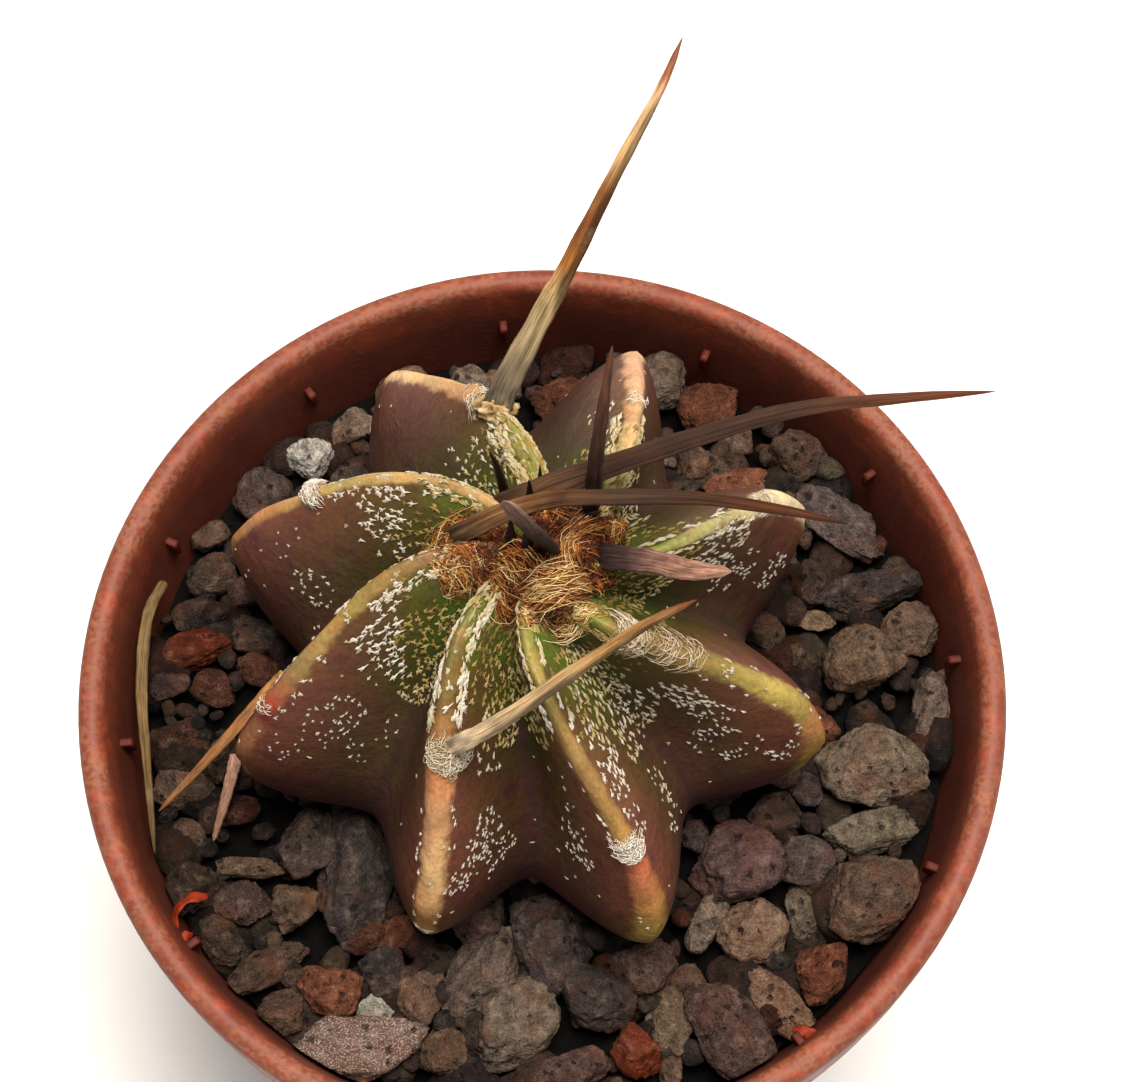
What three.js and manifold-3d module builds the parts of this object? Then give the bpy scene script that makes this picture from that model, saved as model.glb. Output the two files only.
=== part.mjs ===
// A goats horn cactus in a round plastic pot, top-dressed with broken lava gravel.
// Millimetres, +Z up. The origin is the centre of the pot's underside, the front is -Y.
import * as THREE from "three";
import { mergeVertices } from "three/addons/utils/BufferGeometryUtils.js";
import Module from "manifold-3d";

const wasm = await Module();
wasm.setup();

// Room kept between two pieces that touch
const gap = 0.3;

// Pot: rim radius and height set the size of everything below
const potHeight = 50;
const rimRadius = 30;
const rimWidth = 1.7;
const collarDepth = 9;
const baseRadius = 21;
const wall = 1.2;
const floorLift = 1.2;
const padRadius = 10;
const footWidth = 2.6;
const innerSlope = 1 / 6;
const rimRound = 0.8;
const footRound = 0.9;
const potSides = 48;
const drainHoles = 6;
const drainRadius = 2;
const lugCount = 12;
const lugTurn = 6;
const lugSize = [0.8, 0.9, 2];
const lugDrop = 4.6;

// Fill: gravel level, and the top and bottom of the growing mix under it
const gravelLevel = potHeight - 6;
const bedTop = gravelLevel - 1;
const bedBottom = gravelLevel - 2.8;
const mixTop = bedBottom - gap;
const mixBottom = floorLift + wall + gap;

// Stem: where its axis meets the gravel, its lean per mm of height, and the turn of the ribs
const stemFoot = [-1.37, 2.06];
const stemLean = [0.056, 0.038];
const ribTwist = 49.5;
const twistPower = 1.74;
const widestCrest = 19.9;
// One entry a rib: the direction of its tip in degrees from +X, and its reach
const ribs = [
  [25.9, 1.0],
  [70.0, 1.05],
  [117.8, 1.02],
  [160.5, 1.025],
  [202.9, 0.995],
  [251.3, 0.98],
  [292.5, 1.04],
  [340.2, 1.0],
];
// Radius and height over the gravel, from the crown down to the tip of the taproot
const crestLine = [
  [0, 20.5], [1.2, 20.9], [3.4, 21.5], [8.4, 21.1], [13, 18.4], [17.1, 14.1], [19.6, 9.5], [19.9, 6.3],
  [19.2, 3.3], [17.2, 1], [13.6, -0.8], [9.6, -2.2], [6.5, -4], [4.6, -8], [2.6, -13], [0, -17],
];
const valleyLine = [
  [0, 20.5], [0.9, 20.5], [2.2, 20.2], [4.6, 18.4], [7.6, 15.4], [10.8, 11.6], [13.2, 8.2], [14.2, 5.6],
  [14.2, 3], [12.8, 0.6], [10.8, -1.1], [8.4, -2.4], [6.2, -4], [4.6, -8], [2.6, -13], [0, -17],
];
const stemRings = 28;
const ribSteps = 6;
const rootSides = 24;

// Felt pads on the ribs: rib, share of the crest line from the crown, length and width
const pads = [
  [0, 0.3, 2.6, 1.1],
  [1, 0.258, 1.8, 1.1],
  [2, 0.228, 2.6, 1.7],
  [3, 0.292, 1.4, 1.2],
  [4, 0.343, 1.3, 1.1],
  [5, 0.258, 2, 1.8],
  [6, 0.32, 1.6, 1.3],
  [7, 0.218, 3.4, 2],
];
const padHeight = 0.7;

// Long spines: route from the root outwards, full widths along it, thickness, and the way the flat faces
const view = [0, -0.36, 0.93];
const spines = {
  spine_rear_rib: {
    route: [[-2.9, 14.7, 60.4], [-2, 15.1, 64], [0.3, 17.8, 68.2], [1.7, 19.6, 70.3], [4.6, 24.3, 73.6],
      [7.1, 28.4, 75.8], [8.5, 31.5, 76.8]],
    widths: [1.7, 1.8, 1.6, 1.3, 1, 0.7, 0.3],
    thickness: 0.9,
    facing: view,
    color: 0x9c8b6a,
  },
  spine_long_dark: {
    route: [[-4.2, 6.4, 62.6], [-2.4, 6.1, 65], [0.3, 6.7, 66.6], [3.5, 7.5, 67.6], [9.4, 8.8, 69.6],
      [15.2, 10, 70.8], [21.1, 10.7, 70.8], [27, 11.6, 69.8]],
    widths: [1.5, 1.7, 1.6, 1.3, 1, 0.7, 0.3],
    thickness: 0.8,
    facing: view,
    color: 0x4a3a30,
  },
  spine_right_dark: {
    route: [[-6.4, 5.2, 60.6], [-5.6, 4.6, 63.4], [-4.1, 4.4, 66], [-2, 4.5, 68.4], [0.6, 4.7, 69.8],
      [3.5, 4.7, 70.2], [9.4, 5.1, 69], [14.9, 5.4, 66.2], [18.7, 5.5, 63.8]],
    widths: [1.4, 1.6, 1.5, 1.3, 1.1, 0.8, 0.3],
    thickness: 0.8,
    facing: view,
    color: 0x47352c,
  },
  spine_right_short: {
    route: [[2.5, 3.7, 62.4], [3.6, 2.8, 65.4], [6.4, 1.4, 68.4], [8.7, 0.2, 70.2], [11, -0.4, 71.6]],
    widths: [1.5, 1.6, 1.5, 1.2, 0.5],
    thickness: 0.8,
    facing: view,
    color: 0x6b5450,
  },
  spine_rear_short: {
    route: [[2.9, 5.6, 63.2], [3, 5.8, 66], [3.2, 6.2, 68.4], [3.3, 6.9, 70.8], [3.7, 8.8, 74],
      [4.2, 11.6, 76.2]],
    widths: [1.1, 1.1, 1, 0.8, 0.3],
    thickness: 0.7,
    facing: view,
    color: 0x4a2e22,
  },
  spine_upright: {
    route: [[0.8, 3.9, 62.8], [0.4, 3, 67], [-0.4, 2.6, 70.4], [-1.1, 2.3, 73.2], [-1.8, 2.4, 75.4]],
    widths: [1.6, 1.5, 1.3, 1.1, 0.5],
    thickness: 0.8,
    facing: [-0.45, -0.85, 0.3],
    color: 0x7a625c,
  },
  spine_front_tan: {
    route: [[-5.9, -8, 61.2], [-4.5, -8.2, 64], [-2.2, -7.6, 66.2], [2.6, -5.1, 69], [6.3, -3.1, 70.6],
      [9, -2, 71.4]],
    widths: [1.5, 1.6, 1.4, 1.1, 0.8, 0.3],
    thickness: 0.8,
    facing: view,
    color: 0xa58664,
  },
  fallen_spine_1: {
    route: [[-25.4, 8.5, 45.9], [-26.4, 5.8, 46], [-26.5, 0.9, 46], [-25.9, -3.9, 46], [-25, -10.4, 45.8]],
    widths: [0.7, 0.8, 0.8, 0.6, 0.3],
    thickness: 0.6,
    facing: [0, 0, 1],
    color: 0x8d7c4c,
  },
  fallen_spine_2: {
    route: [[-16.8, 1.4, 47.6], [-18, 0.2, 47.3], [-21.4, -3.8, 46.9], [-24.8, -7.8, 46.9]],
    widths: [0.9, 0.9, 0.7, 0.3],
    thickness: 0.6,
    facing: [0, 0, 1],
    color: 0xa8703e,
  },
  fallen_spine_3: {
    route: [[-20, -3.6, 46], [-20.6, -6.6, 45.9], [-21.3, -9.4, 45.7]],
    widths: [0.9, 0.7, 0.3],
    thickness: 0.6,
    facing: [0, 0, 1],
    color: 0xa98274,
  },
};
const spineSteps = 10;
const spineSection = 8;

// Crown wool: centre and half-sizes of each matted lobe, and the young spines that stand in it
const lobes = [
  [[-5.3, 4.6, 62.4], [2.9, 2.4, 1.9]],
  [[-2.6, 3.9, 64], [2.6, 2.3, 1.7]],
  [[-0.5, 1.6, 64.3], [3.3, 2.1, 1.9]],
  [[0.6, 4.4, 64.7], [2.6, 2.1, 1.6]],
  [[3, 4.6, 63.6], [2.2, 2.3, 2]],
];
const youngSpines = [
  [[-2.4, 7.3, 63.6], [-3.2, 9, 68.6], 0.4],
  [[-0.7, 5.8, 65], [-0.8, 6.9, 69], 0.38],
  [[-1, 3, 65], [-1.3, 4.2, 68.4], 0.42],
];

// Gravel the eye knows again: centre x and y, length, width and turn in degrees
const namedStones = [
  [-12.5, -22.6, 8.4, 4.4, 10], [-10.6, -20.2, 2.1, 1.8, -20], [-13.5, -18.6, 3.6, 3.5, 0],
  [-10.4, -17.4, 3.2, 2.8, 90], [-7.8, -19.2, 4.1, 2.6, 80], [-3.9, -17.9, 6.1, 3.7, 60],
  [-1.8, -20.9, 5.9, 4, 45], [0.5, -15.4, 6.2, 4.6, 110], [3.6, -18.9, 4.8, 3.8, -30],
  [1.6, -24, 4.5, 3.1, 20], [-6.3, -22.6, 3.2, 2.6, -20], [6, -22.6, 3.4, 3, -40],
  [6.4, -17.3, 3.8, 3.6, 0], [8.3, -20.6, 3.8, 2.6, 100], [-12.2, -11.3, 7.8, 4.5, 85],
  [-15.7, -9.2, 4.4, 3.6, 60], [-19.2, -10.6, 4.5, 1.6, 0], [-19.4, -13.1, 3.5, 2.6, 0],
  [-16.1, -13.2, 3.2, 2.8, 70], [-20.7, -15.4, 3.3, 2.6, -30], [-18, -17.2, 5.4, 2, 30],
  [-16.6, -20.2, 3.3, 2.8, 60], [-23.2, -12.1, 4, 3.5, 30], [22, -4.2, 6.5, 5.1, -25],
  [26, 0.6, 5.4, 2.2, 80], [21.4, -8.2, 6.4, 2.6, 15], [21.2, -12.6, 6.4, 5, 30],
  [12.6, -10.6, 5.4, 4.9, 10], [13.6, -14.9, 3.8, 3.6, 0], [10.6, -14.2, 3.5, 2, 60],
  [16.8, -13.8, 3.1, 2, 110], [17.8, -17.3, 4, 3, 60], [15.3, -19.6, 5.9, 2.4, -40],
  [11.6, -21.2, 7, 4, -50], [21.6, 3.4, 4.7, 4.3, 20], [25, 5.6, 3.9, 3.4, 30],
  [22, 8.6, 6.2, 3.2, 10], [20.4, 13.4, 6.2, 3.2, -40], [17.4, 18.6, 3.8, 3.4, 20],
  [13.8, 16.2, 4.9, 2.5, 10], [11.6, 22.2, 3.8, 3.6, 0], [7.8, 24.4, 4, 3.8, 0],
  [1.2, 22.4, 4.1, 3.5, 0], [-16.2, 18.4, 2.8, 2.8, 30], [-22.4, 9.6, 3.2, 2.6, 45],
  [-23.4, 4.4, 3.9, 2.4, 10], [-22, 1.7, 3, 2.2, -20], [-19.4, 5.6, 3.8, 2.4, 0],
  [-24.2, -2, 3.6, 2.8, 0], [-24, -5.2, 3.8, 2.4, -10], [-20.4, -6.7, 2.9, 2.3, 20],
];
// Stones that a rule scatters between them
const fillStones = 72;
const fillTries = 6000;
const fillSizes = [2.2, 4.2];
const flattest = 0.62;
const gravelEdge = 26.3;
const gravelHole = 12.4;
const stoneCrowding = 0.46;
const stoneRise = 0.36;
const stoneRelief = 0.12;

// Repeatable draws between 0 and 1
function drawFrom(seed) {
  let state = seed;
  return () => {
    state = (state * 1664525 + 1013904223) % 4294967296;
    return state / 4294967296;
  };
}

// A closed three.js geometry as a solid that can be joined and cut
function solidOf(geometry) {
  const bare = new THREE.BufferGeometry();
  bare.setAttribute("position", geometry.getAttribute("position"));
  bare.setIndex(geometry.getIndex());
  const merged = mergeVertices(bare, 1e-4);
  const vertProperties = new Float32Array(merged.getAttribute("position").array);
  const triVerts = new Uint32Array(merged.getIndex().array);
  return new wasm.Manifold(new wasm.Mesh({ numProp: 3, vertProperties, triVerts }));
}

// The largest connected body of a solid
function mainBody(solid) {
  const bodies = solid.decompose();
  return bodies.reduce((best, body) => (body.volume() > best.volume() ? body : best));
}

// A solid as a named mesh with its own material
function meshOf(name, solid, material) {
  const data = mainBody(solid).getMesh();
  const geometry = new THREE.BufferGeometry();
  geometry.setAttribute("position", new THREE.BufferAttribute(new Float32Array(data.vertProperties), 3));
  geometry.setIndex(new THREE.BufferAttribute(new Uint32Array(data.triVerts), 1));
  geometry.computeVertexNormals();
  const mesh = new THREE.Mesh(geometry, new THREE.MeshStandardMaterial(material));
  mesh.name = name;
  return mesh;
}

// A body turned about the vertical axis from an outline of radius and height
function turned(outline, sides = potSides) {
  const points = outline.map(([radius, height]) => new THREE.Vector2(radius, height));
  return new THREE.LatheGeometry(points, sides).rotateX(Math.PI / 2);
}

// Radius of the inner face of the pot at a height
function innerRadius(height) {
  const collarFoot = potHeight - collarDepth;
  const collarInner = rimRadius - rimWidth - (collarDepth - rimRound) * innerSlope;
  if (height >= collarFoot) return collarInner + (height - collarFoot) * innerSlope;
  const footInner = baseRadius - wall - 0.2;
  const share = (height - floorLift - wall) / (collarFoot - floorLift - wall);
  return footInner + (collarInner - footInner) * share;
}

function potSolid() {
  const collarFoot = potHeight - collarDepth;
  const collarInner = innerRadius(collarFoot);
  const channelOuter = baseRadius - footWidth;
  const body = solidOf(turned([
    [0, floorLift + wall],
    [innerRadius(floorLift + wall), floorLift + wall],
    [collarInner, collarFoot],
    [rimRadius - rimWidth, potHeight - rimRound],
    [rimRadius - rimWidth * 0.8, potHeight - rimRound * 0.2],
    [rimRadius - rimWidth * 0.5, potHeight],
    [rimRadius - rimWidth * 0.2, potHeight - rimRound * 0.2],
    [rimRadius, potHeight - rimRound],
    [rimRadius - 0.25, collarFoot + 0.6],
    [rimRadius - 0.6, collarFoot],
    [collarInner + wall + 0.1, collarFoot - 0.6],
    [baseRadius + 0.25, footRound],
    [baseRadius, 0],
    [channelOuter + 0.5, 0],
    [channelOuter, floorLift],
    [padRadius + 0.8, floorLift],
    [padRadius, 0],
    [0, 0],
  ].reverse()));
  const middle = (padRadius + channelOuter) / 2;
  const cuts = [];
  for (let hole = 0; hole < drainHoles; hole++) {
    const angle = (hole / drainHoles) * 2 * Math.PI;
    const drill = new THREE.CylinderGeometry(drainRadius, drainRadius, 6, 16).rotateX(Math.PI / 2);
    drill.translate(middle * Math.cos(angle), middle * Math.sin(angle), floorLift);
    cuts.push(solidOf(drill));
  }
  const lugs = [];
  for (let lug = 0; lug < lugCount; lug++) {
    const turn = THREE.MathUtils.degToRad(lugTurn + (360 / lugCount) * lug);
    const bar = new THREE.BoxGeometry(lugSize[0] * 2, lugSize[1], lugSize[2]);
    bar.translate(innerRadius(potHeight - lugDrop), 0, potHeight - lugDrop).rotateZ(turn);
    lugs.push(solidOf(bar));
  }
  return wasm.Manifold.union([body.subtract(wasm.Manifold.union(cuts)), ...lugs]);
}

// Height of the rounded ridge between two valleys: 1 on the crest, 0 in the valley
function ridge(offset) {
  return (1 - offset ** 1.5) ** 1.9;
}

// A point of the stem: the rib, the share of the way to the next rib, and of the way from crown to root
function stemPoint(rib, part, share, grow) {
  const crest = new THREE.SplineCurve(crestLine.map(([r, z]) => new THREE.Vector2(r, z))).getPoint(share);
  const valley = new THREE.SplineCurve(valleyLine.map(([r, z]) => new THREE.Vector2(r, z))).getPoint(share);
  const next = (rib + 1) % ribs.length;
  const blend = ridge(part < 0.5 ? 2 * part : 2 * (1 - part));
  const reach = THREE.MathUtils.lerp(ribs[rib][1], ribs[next][1], part);
  const stretch = 1 + (reach - 1) * Math.min(1, Math.max(0, crest.x) / 10);
  const radius = THREE.MathUtils.lerp(valley.x, crest.x, blend) * stretch;
  const height = THREE.MathUtils.lerp(valley.y, crest.y, blend);
  const nextTip = ribs[next][0] + (next === 0 ? 360 : 0);
  const twist = share < 0.5 ? ribTwist * Math.max(0, 1 - crest.x / widestCrest) ** twistPower : 0;
  const angle = THREE.MathUtils.degToRad(THREE.MathUtils.lerp(ribs[rib][0], nextTip, part) - twist);
  const rise = Math.max(0, height);
  const grown = radius + grow * Math.min(1, radius / 2);
  const lift = share < 0.35 ? grow : share > 0.9 ? -grow : 0;
  return new THREE.Vector3(
    stemFoot[0] + stemLean[0] * rise + grown * Math.cos(angle),
    stemFoot[1] + stemLean[1] * rise + grown * Math.sin(angle),
    gravelLevel + height + lift,
  );
}

// The stem with its taproot, or the room it needs when grow is over 0
function stemSolid(grow) {
  const around = ribs.length * ribSteps;
  const points = [stemPoint(0, 0, 0, grow)];
  for (let ring = 1; ring < stemRings; ring++)
    for (let step = 0; step < around; step++)
      points.push(
        stemPoint(Math.floor(step / ribSteps), (step % ribSteps) / ribSteps, ring / stemRings, grow),
      );
  points.push(stemPoint(0, 0, 1, grow));
  const faces = [];
  const last = points.length - 1;
  for (let step = 0; step < around; step++) {
    const next = (step + 1) % around;
    faces.push(0, 1 + step, 1 + next);
    for (let ring = 0; ring < stemRings - 2; ring++) {
      const here = 1 + ring * around;
      const below = here + around;
      faces.push(here + step, below + step, below + next, here + step, below + next, here + next);
    }
    const lowest = last - around;
    faces.push(last, lowest + next, lowest + step);
  }
  const geometry = new THREE.BufferGeometry().setFromPoints(points);
  geometry.setIndex(faces);
  return solidOf(geometry);
}

// A low felt pad across the crest of a rib
function padSolid([rib, share, length, width]) {
  const centre = stemPoint(rib, 0, share, 0);
  const along = stemPoint(rib, 0, share + 0.01, 0).sub(centre).normalize();
  const side = new THREE.Vector3().crossVectors(along, new THREE.Vector3(0, 0, 1)).normalize();
  const out = new THREE.Vector3().crossVectors(side, along);
  const pad = new THREE.SphereGeometry(1, 8, 5);
  pad.applyMatrix4(new THREE.Matrix4().makeScale(length / 2, width / 2, padHeight));
  pad.applyMatrix4(new THREE.Matrix4().makeBasis(along, side.negate(), out));
  return solidOf(pad.translate(centre.x, centre.y, centre.z));
}

// Value of an evenly spaced list at a share of its length
function sample(list, share) {
  const place = share * (list.length - 1);
  const low = Math.min(Math.floor(place), list.length - 2);
  return THREE.MathUtils.lerp(list[low], list[low + 1], place - low);
}

// A flat, tapering, closed strip along a route, or the room it needs when grow is over 0
function spineSolid({ route, widths, thickness, facing }, grow) {
  const stops = route.map((stop) => new THREE.Vector3(...stop));
  const curve = new THREE.CatmullRomCurve3(stops, false, "catmullrom", 0.5);
  const face = new THREE.Vector3(...facing);
  const points = [];
  for (let step = 0; step <= spineSteps; step++) {
    const share = step / spineSteps;
    const centre = curve.getPoint(share);
    const along = curve.getTangent(share);
    if (step === 0) centre.addScaledVector(along, -grow);
    if (step === spineSteps) centre.addScaledVector(along, grow);
    const side = new THREE.Vector3().crossVectors(along, face).normalize();
    const up = new THREE.Vector3().crossVectors(side, along);
    const taper = share < 0.8 ? 1 : 1 - (share - 0.8) * 2;
    for (let corner = 0; corner < spineSection; corner++) {
      const turn = (corner / spineSection) * 2 * Math.PI;
      const across = (sample(widths, share) / 2 + grow) * Math.cos(turn);
      const over = ((thickness / 2) * taper + grow) * Math.sin(turn);
      points.push(centre.clone().addScaledVector(side, across).addScaledVector(up, over));
    }
  }
  const faces = [];
  for (let step = 0; step < spineSteps; step++)
    for (let corner = 0; corner < spineSection; corner++) {
      const next = (corner + 1) % spineSection;
      const here = step * spineSection;
      const there = here + spineSection;
      faces.push(here + corner, there + next, here + next, here + corner, there + corner, there + next);
    }
  for (let corner = 1; corner < spineSection - 1; corner++) {
    const end = spineSteps * spineSection;
    faces.push(0, corner, corner + 1, end, end + corner + 1, end + corner);
  }
  const geometry = new THREE.BufferGeometry().setFromPoints(points);
  geometry.setIndex(faces);
  return solidOf(geometry);
}

function woolSolid() {
  const matted = lobes.map(([centre, half]) => {
    const lobe = new THREE.SphereGeometry(1, 10, 5).scale(...half);
    return solidOf(lobe.translate(...centre));
  });
  const young = youngSpines.map(([foot, tip, radius]) => {
    const from = new THREE.Vector3(...foot);
    const way = new THREE.Vector3(...tip).sub(from);
    const cone = new THREE.ConeGeometry(radius, way.length(), 6).translate(0, way.length() / 2, 0);
    const turn = new THREE.Quaternion().setFromUnitVectors(new THREE.Vector3(0, 1, 0), way.normalize());
    return solidOf(cone.applyQuaternion(turn).translate(...foot));
  });
  return wasm.Manifold.union([...matted, ...young]);
}

// The named stones, then a seeded scatter that keeps its distance from them
function placeStones() {
  const draw = drawFrom(41);
  const placed = namedStones.map(([x, y, length, width, turn]) => ({ x, y, length, width, turn }));
  for (let attempt = 0; attempt < fillTries && placed.length < namedStones.length + fillStones; attempt++) {
    const radius = gravelEdge * Math.sqrt(draw());
    const angle = 2 * Math.PI * draw();
    const length = THREE.MathUtils.lerp(fillSizes[0], fillSizes[1], draw());
    const width = length * THREE.MathUtils.lerp(flattest, 0.95, draw());
    const x = radius * Math.cos(angle);
    const y = radius * Math.sin(angle);
    const stone = { x, y, length, width, turn: 180 * draw() };
    const fromStem = Math.hypot(stone.x - stemFoot[0], stone.y - stemFoot[1]);
    const crowded = placed.some((other) => {
      const reach = (other.length + other.width) / 2 + (length + width) / 2;
      return Math.hypot(stone.x - other.x, stone.y - other.y) < stoneCrowding * reach;
    });
    if (!crowded && fromStem > gravelHole && radius + width / 2 < gravelEdge + 0.8) placed.push(stone);
  }
  return placed;
}

// One blunt many-sided stone, sunk part way into the bed
function stoneSolid({ x, y, length, width, turn }, index) {
  const draw = drawFrom(1000 + index * 77);
  const half = width * THREE.MathUtils.lerp(0.34, 0.42, draw());
  const bare = new THREE.BufferGeometry();
  bare.setAttribute("position", new THREE.IcosahedronGeometry(1, 0).getAttribute("position"));
  const stone = mergeVertices(bare, 1e-3);
  const corners = stone.getAttribute("position");
  for (let i = 0; i < corners.count; i++) {
    const swell = 1 + stoneRelief * (2 * draw() - 1);
    corners.setXYZ(i, corners.getX(i) * swell, corners.getY(i) * swell, corners.getZ(i) * swell);
  }
  stone.scale((length / 2) * 1.1, (width / 2) * 1.1, half);
  stone.rotateX(0.3 * (draw() - 0.5)).rotateY(0.3 * (draw() - 0.5));
  stone.rotateZ(THREE.MathUtils.degToRad(turn));
  return solidOf(stone.translate(x, y, bedTop + half * stoneRise + 0.3 * draw()));
}

function gravelSolid() {
  const bed = solidOf(turned([
    [0, bedBottom],
    [innerRadius(bedBottom) - gap, bedBottom],
    [innerRadius(bedTop) - gap, bedTop],
    [0, bedTop],
  ]));
  const room = solidOf(turned([
    [0, bedBottom],
    [innerRadius(bedBottom) - gap, bedBottom],
    [innerRadius(potHeight - lugDrop - 1.2) - gap, potHeight - lugDrop - 1.2],
    [innerRadius(potHeight - lugDrop - 1) - gap - lugSize[0], potHeight - lugDrop - 1],
    [innerRadius(potHeight) - gap - lugSize[0], potHeight],
    [0, potHeight],
  ]));
  return wasm.Manifold.union([bed, ...placeStones().map(stoneSolid)]).intersect(room);
}

// The mix with a plain hole for the taproot
function mixSolid() {
  const fill = solidOf(turned([
    [0, mixBottom],
    [innerRadius(mixBottom) - gap, mixBottom],
    [innerRadius(mixTop) - gap, mixTop],
    [0, mixTop],
  ]));
  const root = crestLine.filter(([, height]) => height < -2).reverse();
  const hole = root.map(([radius, height]) => [radius ? radius + 2 * gap : 0, gravelLevel + height]);
  hole[0][1] -= 2 * gap;
  hole.push([0, hole[hole.length - 1][1]]);
  return fill.subtract(solidOf(turned(hole, rootSides).translate(...stemFoot, 0)));
}

const strips = Object.entries(spines).map(([name, spine]) => [name, spine, spineSolid(spine, 0)]);
const sockets = wasm.Manifold.union(Object.values(spines).map((spine) => spineSolid(spine, gap)));
const stemRoom = stemSolid(gap);
const stem = wasm.Manifold.union([stemSolid(0), ...pads.map(padSolid)]).subtract(sockets);
const wool = woolSolid().subtract(stemRoom).subtract(sockets);
const gravel = gravelSolid().subtract(stemRoom).subtract(sockets);

const group = new THREE.Group();
group.add(meshOf("pot", potSolid(), { color: 0xb5583c, roughness: 0.6, metalness: 0 }));
group.add(meshOf("growing_mix", mixSolid(), { color: 0x4d4038, roughness: 1, metalness: 0 }));
group.add(meshOf("gravel", gravel, { color: 0x5c504a, roughness: 0.95, metalness: 0 }));
group.add(meshOf("stem", stem, { color: 0x5e4638, roughness: 0.55, metalness: 0 }));
group.add(meshOf("crown_wool", wool, { color: 0xb08850, roughness: 1, metalness: 0 }));
for (const [name, spine, strip] of strips)
  group.add(meshOf(name, strip, { color: spine.color, roughness: 0.7, metalness: 0 }));

export default group;
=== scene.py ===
"""Looks of a potted goats horn cactus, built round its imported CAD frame.

Metres, +Z up, the front is -Y. Rows of sizes are in millimetres and are scaled by MM where they are used.
"""

import math

import bpy
import numpy as np
from bpy.props import FloatProperty, FloatVectorProperty, IntProperty, PointerProperty
from mathutils import Euler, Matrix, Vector, noise


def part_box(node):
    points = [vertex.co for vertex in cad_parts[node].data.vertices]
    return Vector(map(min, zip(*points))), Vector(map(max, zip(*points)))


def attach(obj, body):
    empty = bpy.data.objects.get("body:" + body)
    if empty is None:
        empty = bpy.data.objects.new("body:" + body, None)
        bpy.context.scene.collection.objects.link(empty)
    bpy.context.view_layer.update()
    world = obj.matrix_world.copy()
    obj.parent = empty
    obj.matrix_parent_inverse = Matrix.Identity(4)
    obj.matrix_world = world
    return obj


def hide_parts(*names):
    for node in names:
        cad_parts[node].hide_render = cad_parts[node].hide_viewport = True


bl_info = {
    "name": "Potted Goats Horn Cactus",
    "version": (1, 0, 0),
    "blender": (4, 5, 0),
    "location": "View3D > Sidebar > Cactus",
    "description": "Adds an eight-ribbed cactus in its plastic pot, with gravel, wool, flecks and spines",
    "category": "Add Mesh",
}

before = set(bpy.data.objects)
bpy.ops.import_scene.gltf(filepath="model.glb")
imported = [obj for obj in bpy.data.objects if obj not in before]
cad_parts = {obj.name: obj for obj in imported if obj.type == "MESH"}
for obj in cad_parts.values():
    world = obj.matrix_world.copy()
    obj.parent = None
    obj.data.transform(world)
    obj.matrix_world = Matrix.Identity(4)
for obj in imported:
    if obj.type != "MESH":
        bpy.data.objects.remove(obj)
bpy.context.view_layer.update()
MM = 0.001
POT_LOW, POT_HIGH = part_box("pot")
# Level of the gravel, and of the bed that its stones are sunk in, in millimetres
GRAVEL_LEVEL = POT_HIGH.z / MM - 6
BED_LEVEL = GRAVEL_LEVEL - 1


def linear(code):
    """Linear red, green, blue and alpha of an sRGB hex colour."""
    colour = [int(code[place : place + 2], 16) / 255 for place in (1, 3, 5)]
    colour = [part / 12.92 if part <= 0.04045 else ((part + 0.055) / 1.055) ** 2.4 for part in colour]
    return (*colour, 1.0)


def draw_from(seed):
    """Repeatable draws between 0 and 1, the same ones as in the CAD source."""
    state = seed

    def draw():
        nonlocal state
        state = (state * 1664525 + 1013904223) % 4294967296
        return state / 4294967296

    return draw


# Sizes and colours that a user would change


class StageSettings(bpy.types.PropertyGroup):
    """Camera, floor and lights."""

    camera_place: FloatVectorProperty(
        name="Camera place", description="Where the camera stands", subtype="TRANSLATION", unit="LENGTH",
        default=(0.00188, -0.05174, 0.20966),
    )
    camera_target: FloatVectorProperty(
        name="Camera target", description="Point at the middle of the picture", subtype="TRANSLATION",
        unit="LENGTH", default=(0.00188, 0.00977, 0.05),
    )
    lens: FloatProperty(
        name="Lens", description="Focal length on a 36 mm sensor", default=81.89, unit="CAMERA",
    )
    floor_size: FloatProperty(name="Floor size", description="Side of the floor", default=4.0, unit="LENGTH")
    floor_colour: FloatVectorProperty(
        name="Floor", description="Pale matt floor", subtype="COLOR", size=4, default=linear("#f7f7f6"),
    )


class PotSettings(bpy.types.PropertyGroup):
    """The thin plastic grower's pot."""

    rim_radius: FloatProperty(
        name="Rim radius", description="Outer radius of the rim", default=POT_HIGH.x, unit="LENGTH",
    )
    height: FloatProperty(name="Height", description="Height of the pot", default=POT_HIGH.z, unit="LENGTH")
    sides: IntProperty(name="Sides", description="Steps round the pot", default=144, min=24)
    plastic: FloatVectorProperty(
        name="Plastic", description="Terracotta colour of the wall", subtype="COLOR", size=4,
        default=linear("#6a3022"),
    )
    chalk: FloatVectorProperty(
        name="Chalk", description="Pale lime film on the rim", subtype="COLOR", size=4,
        default=linear("#8c6048"),
    )
    scuff: FloatVectorProperty(
        name="Scuff", description="Fresh orange plastic in scuffs", subtype="COLOR", size=4,
        default=linear("#a0452a"),
    )


class GravelSettings(bpy.types.PropertyGroup):
    """Broken lava rock and the growing mix under it."""

    fill_stones: IntProperty(name="Fill stones", description="Stones scattered by rule", default=72, min=0)
    under_stones: IntProperty(name="Lower stones", description="Stones one layer down", default=120, min=1)
    grit: IntProperty(name="Grit", description="Small chips between the stones", default=260, min=1)
    pore: FloatProperty(name="Pore", description="Width of a pore", default=0.00035, unit="LENGTH")


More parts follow.
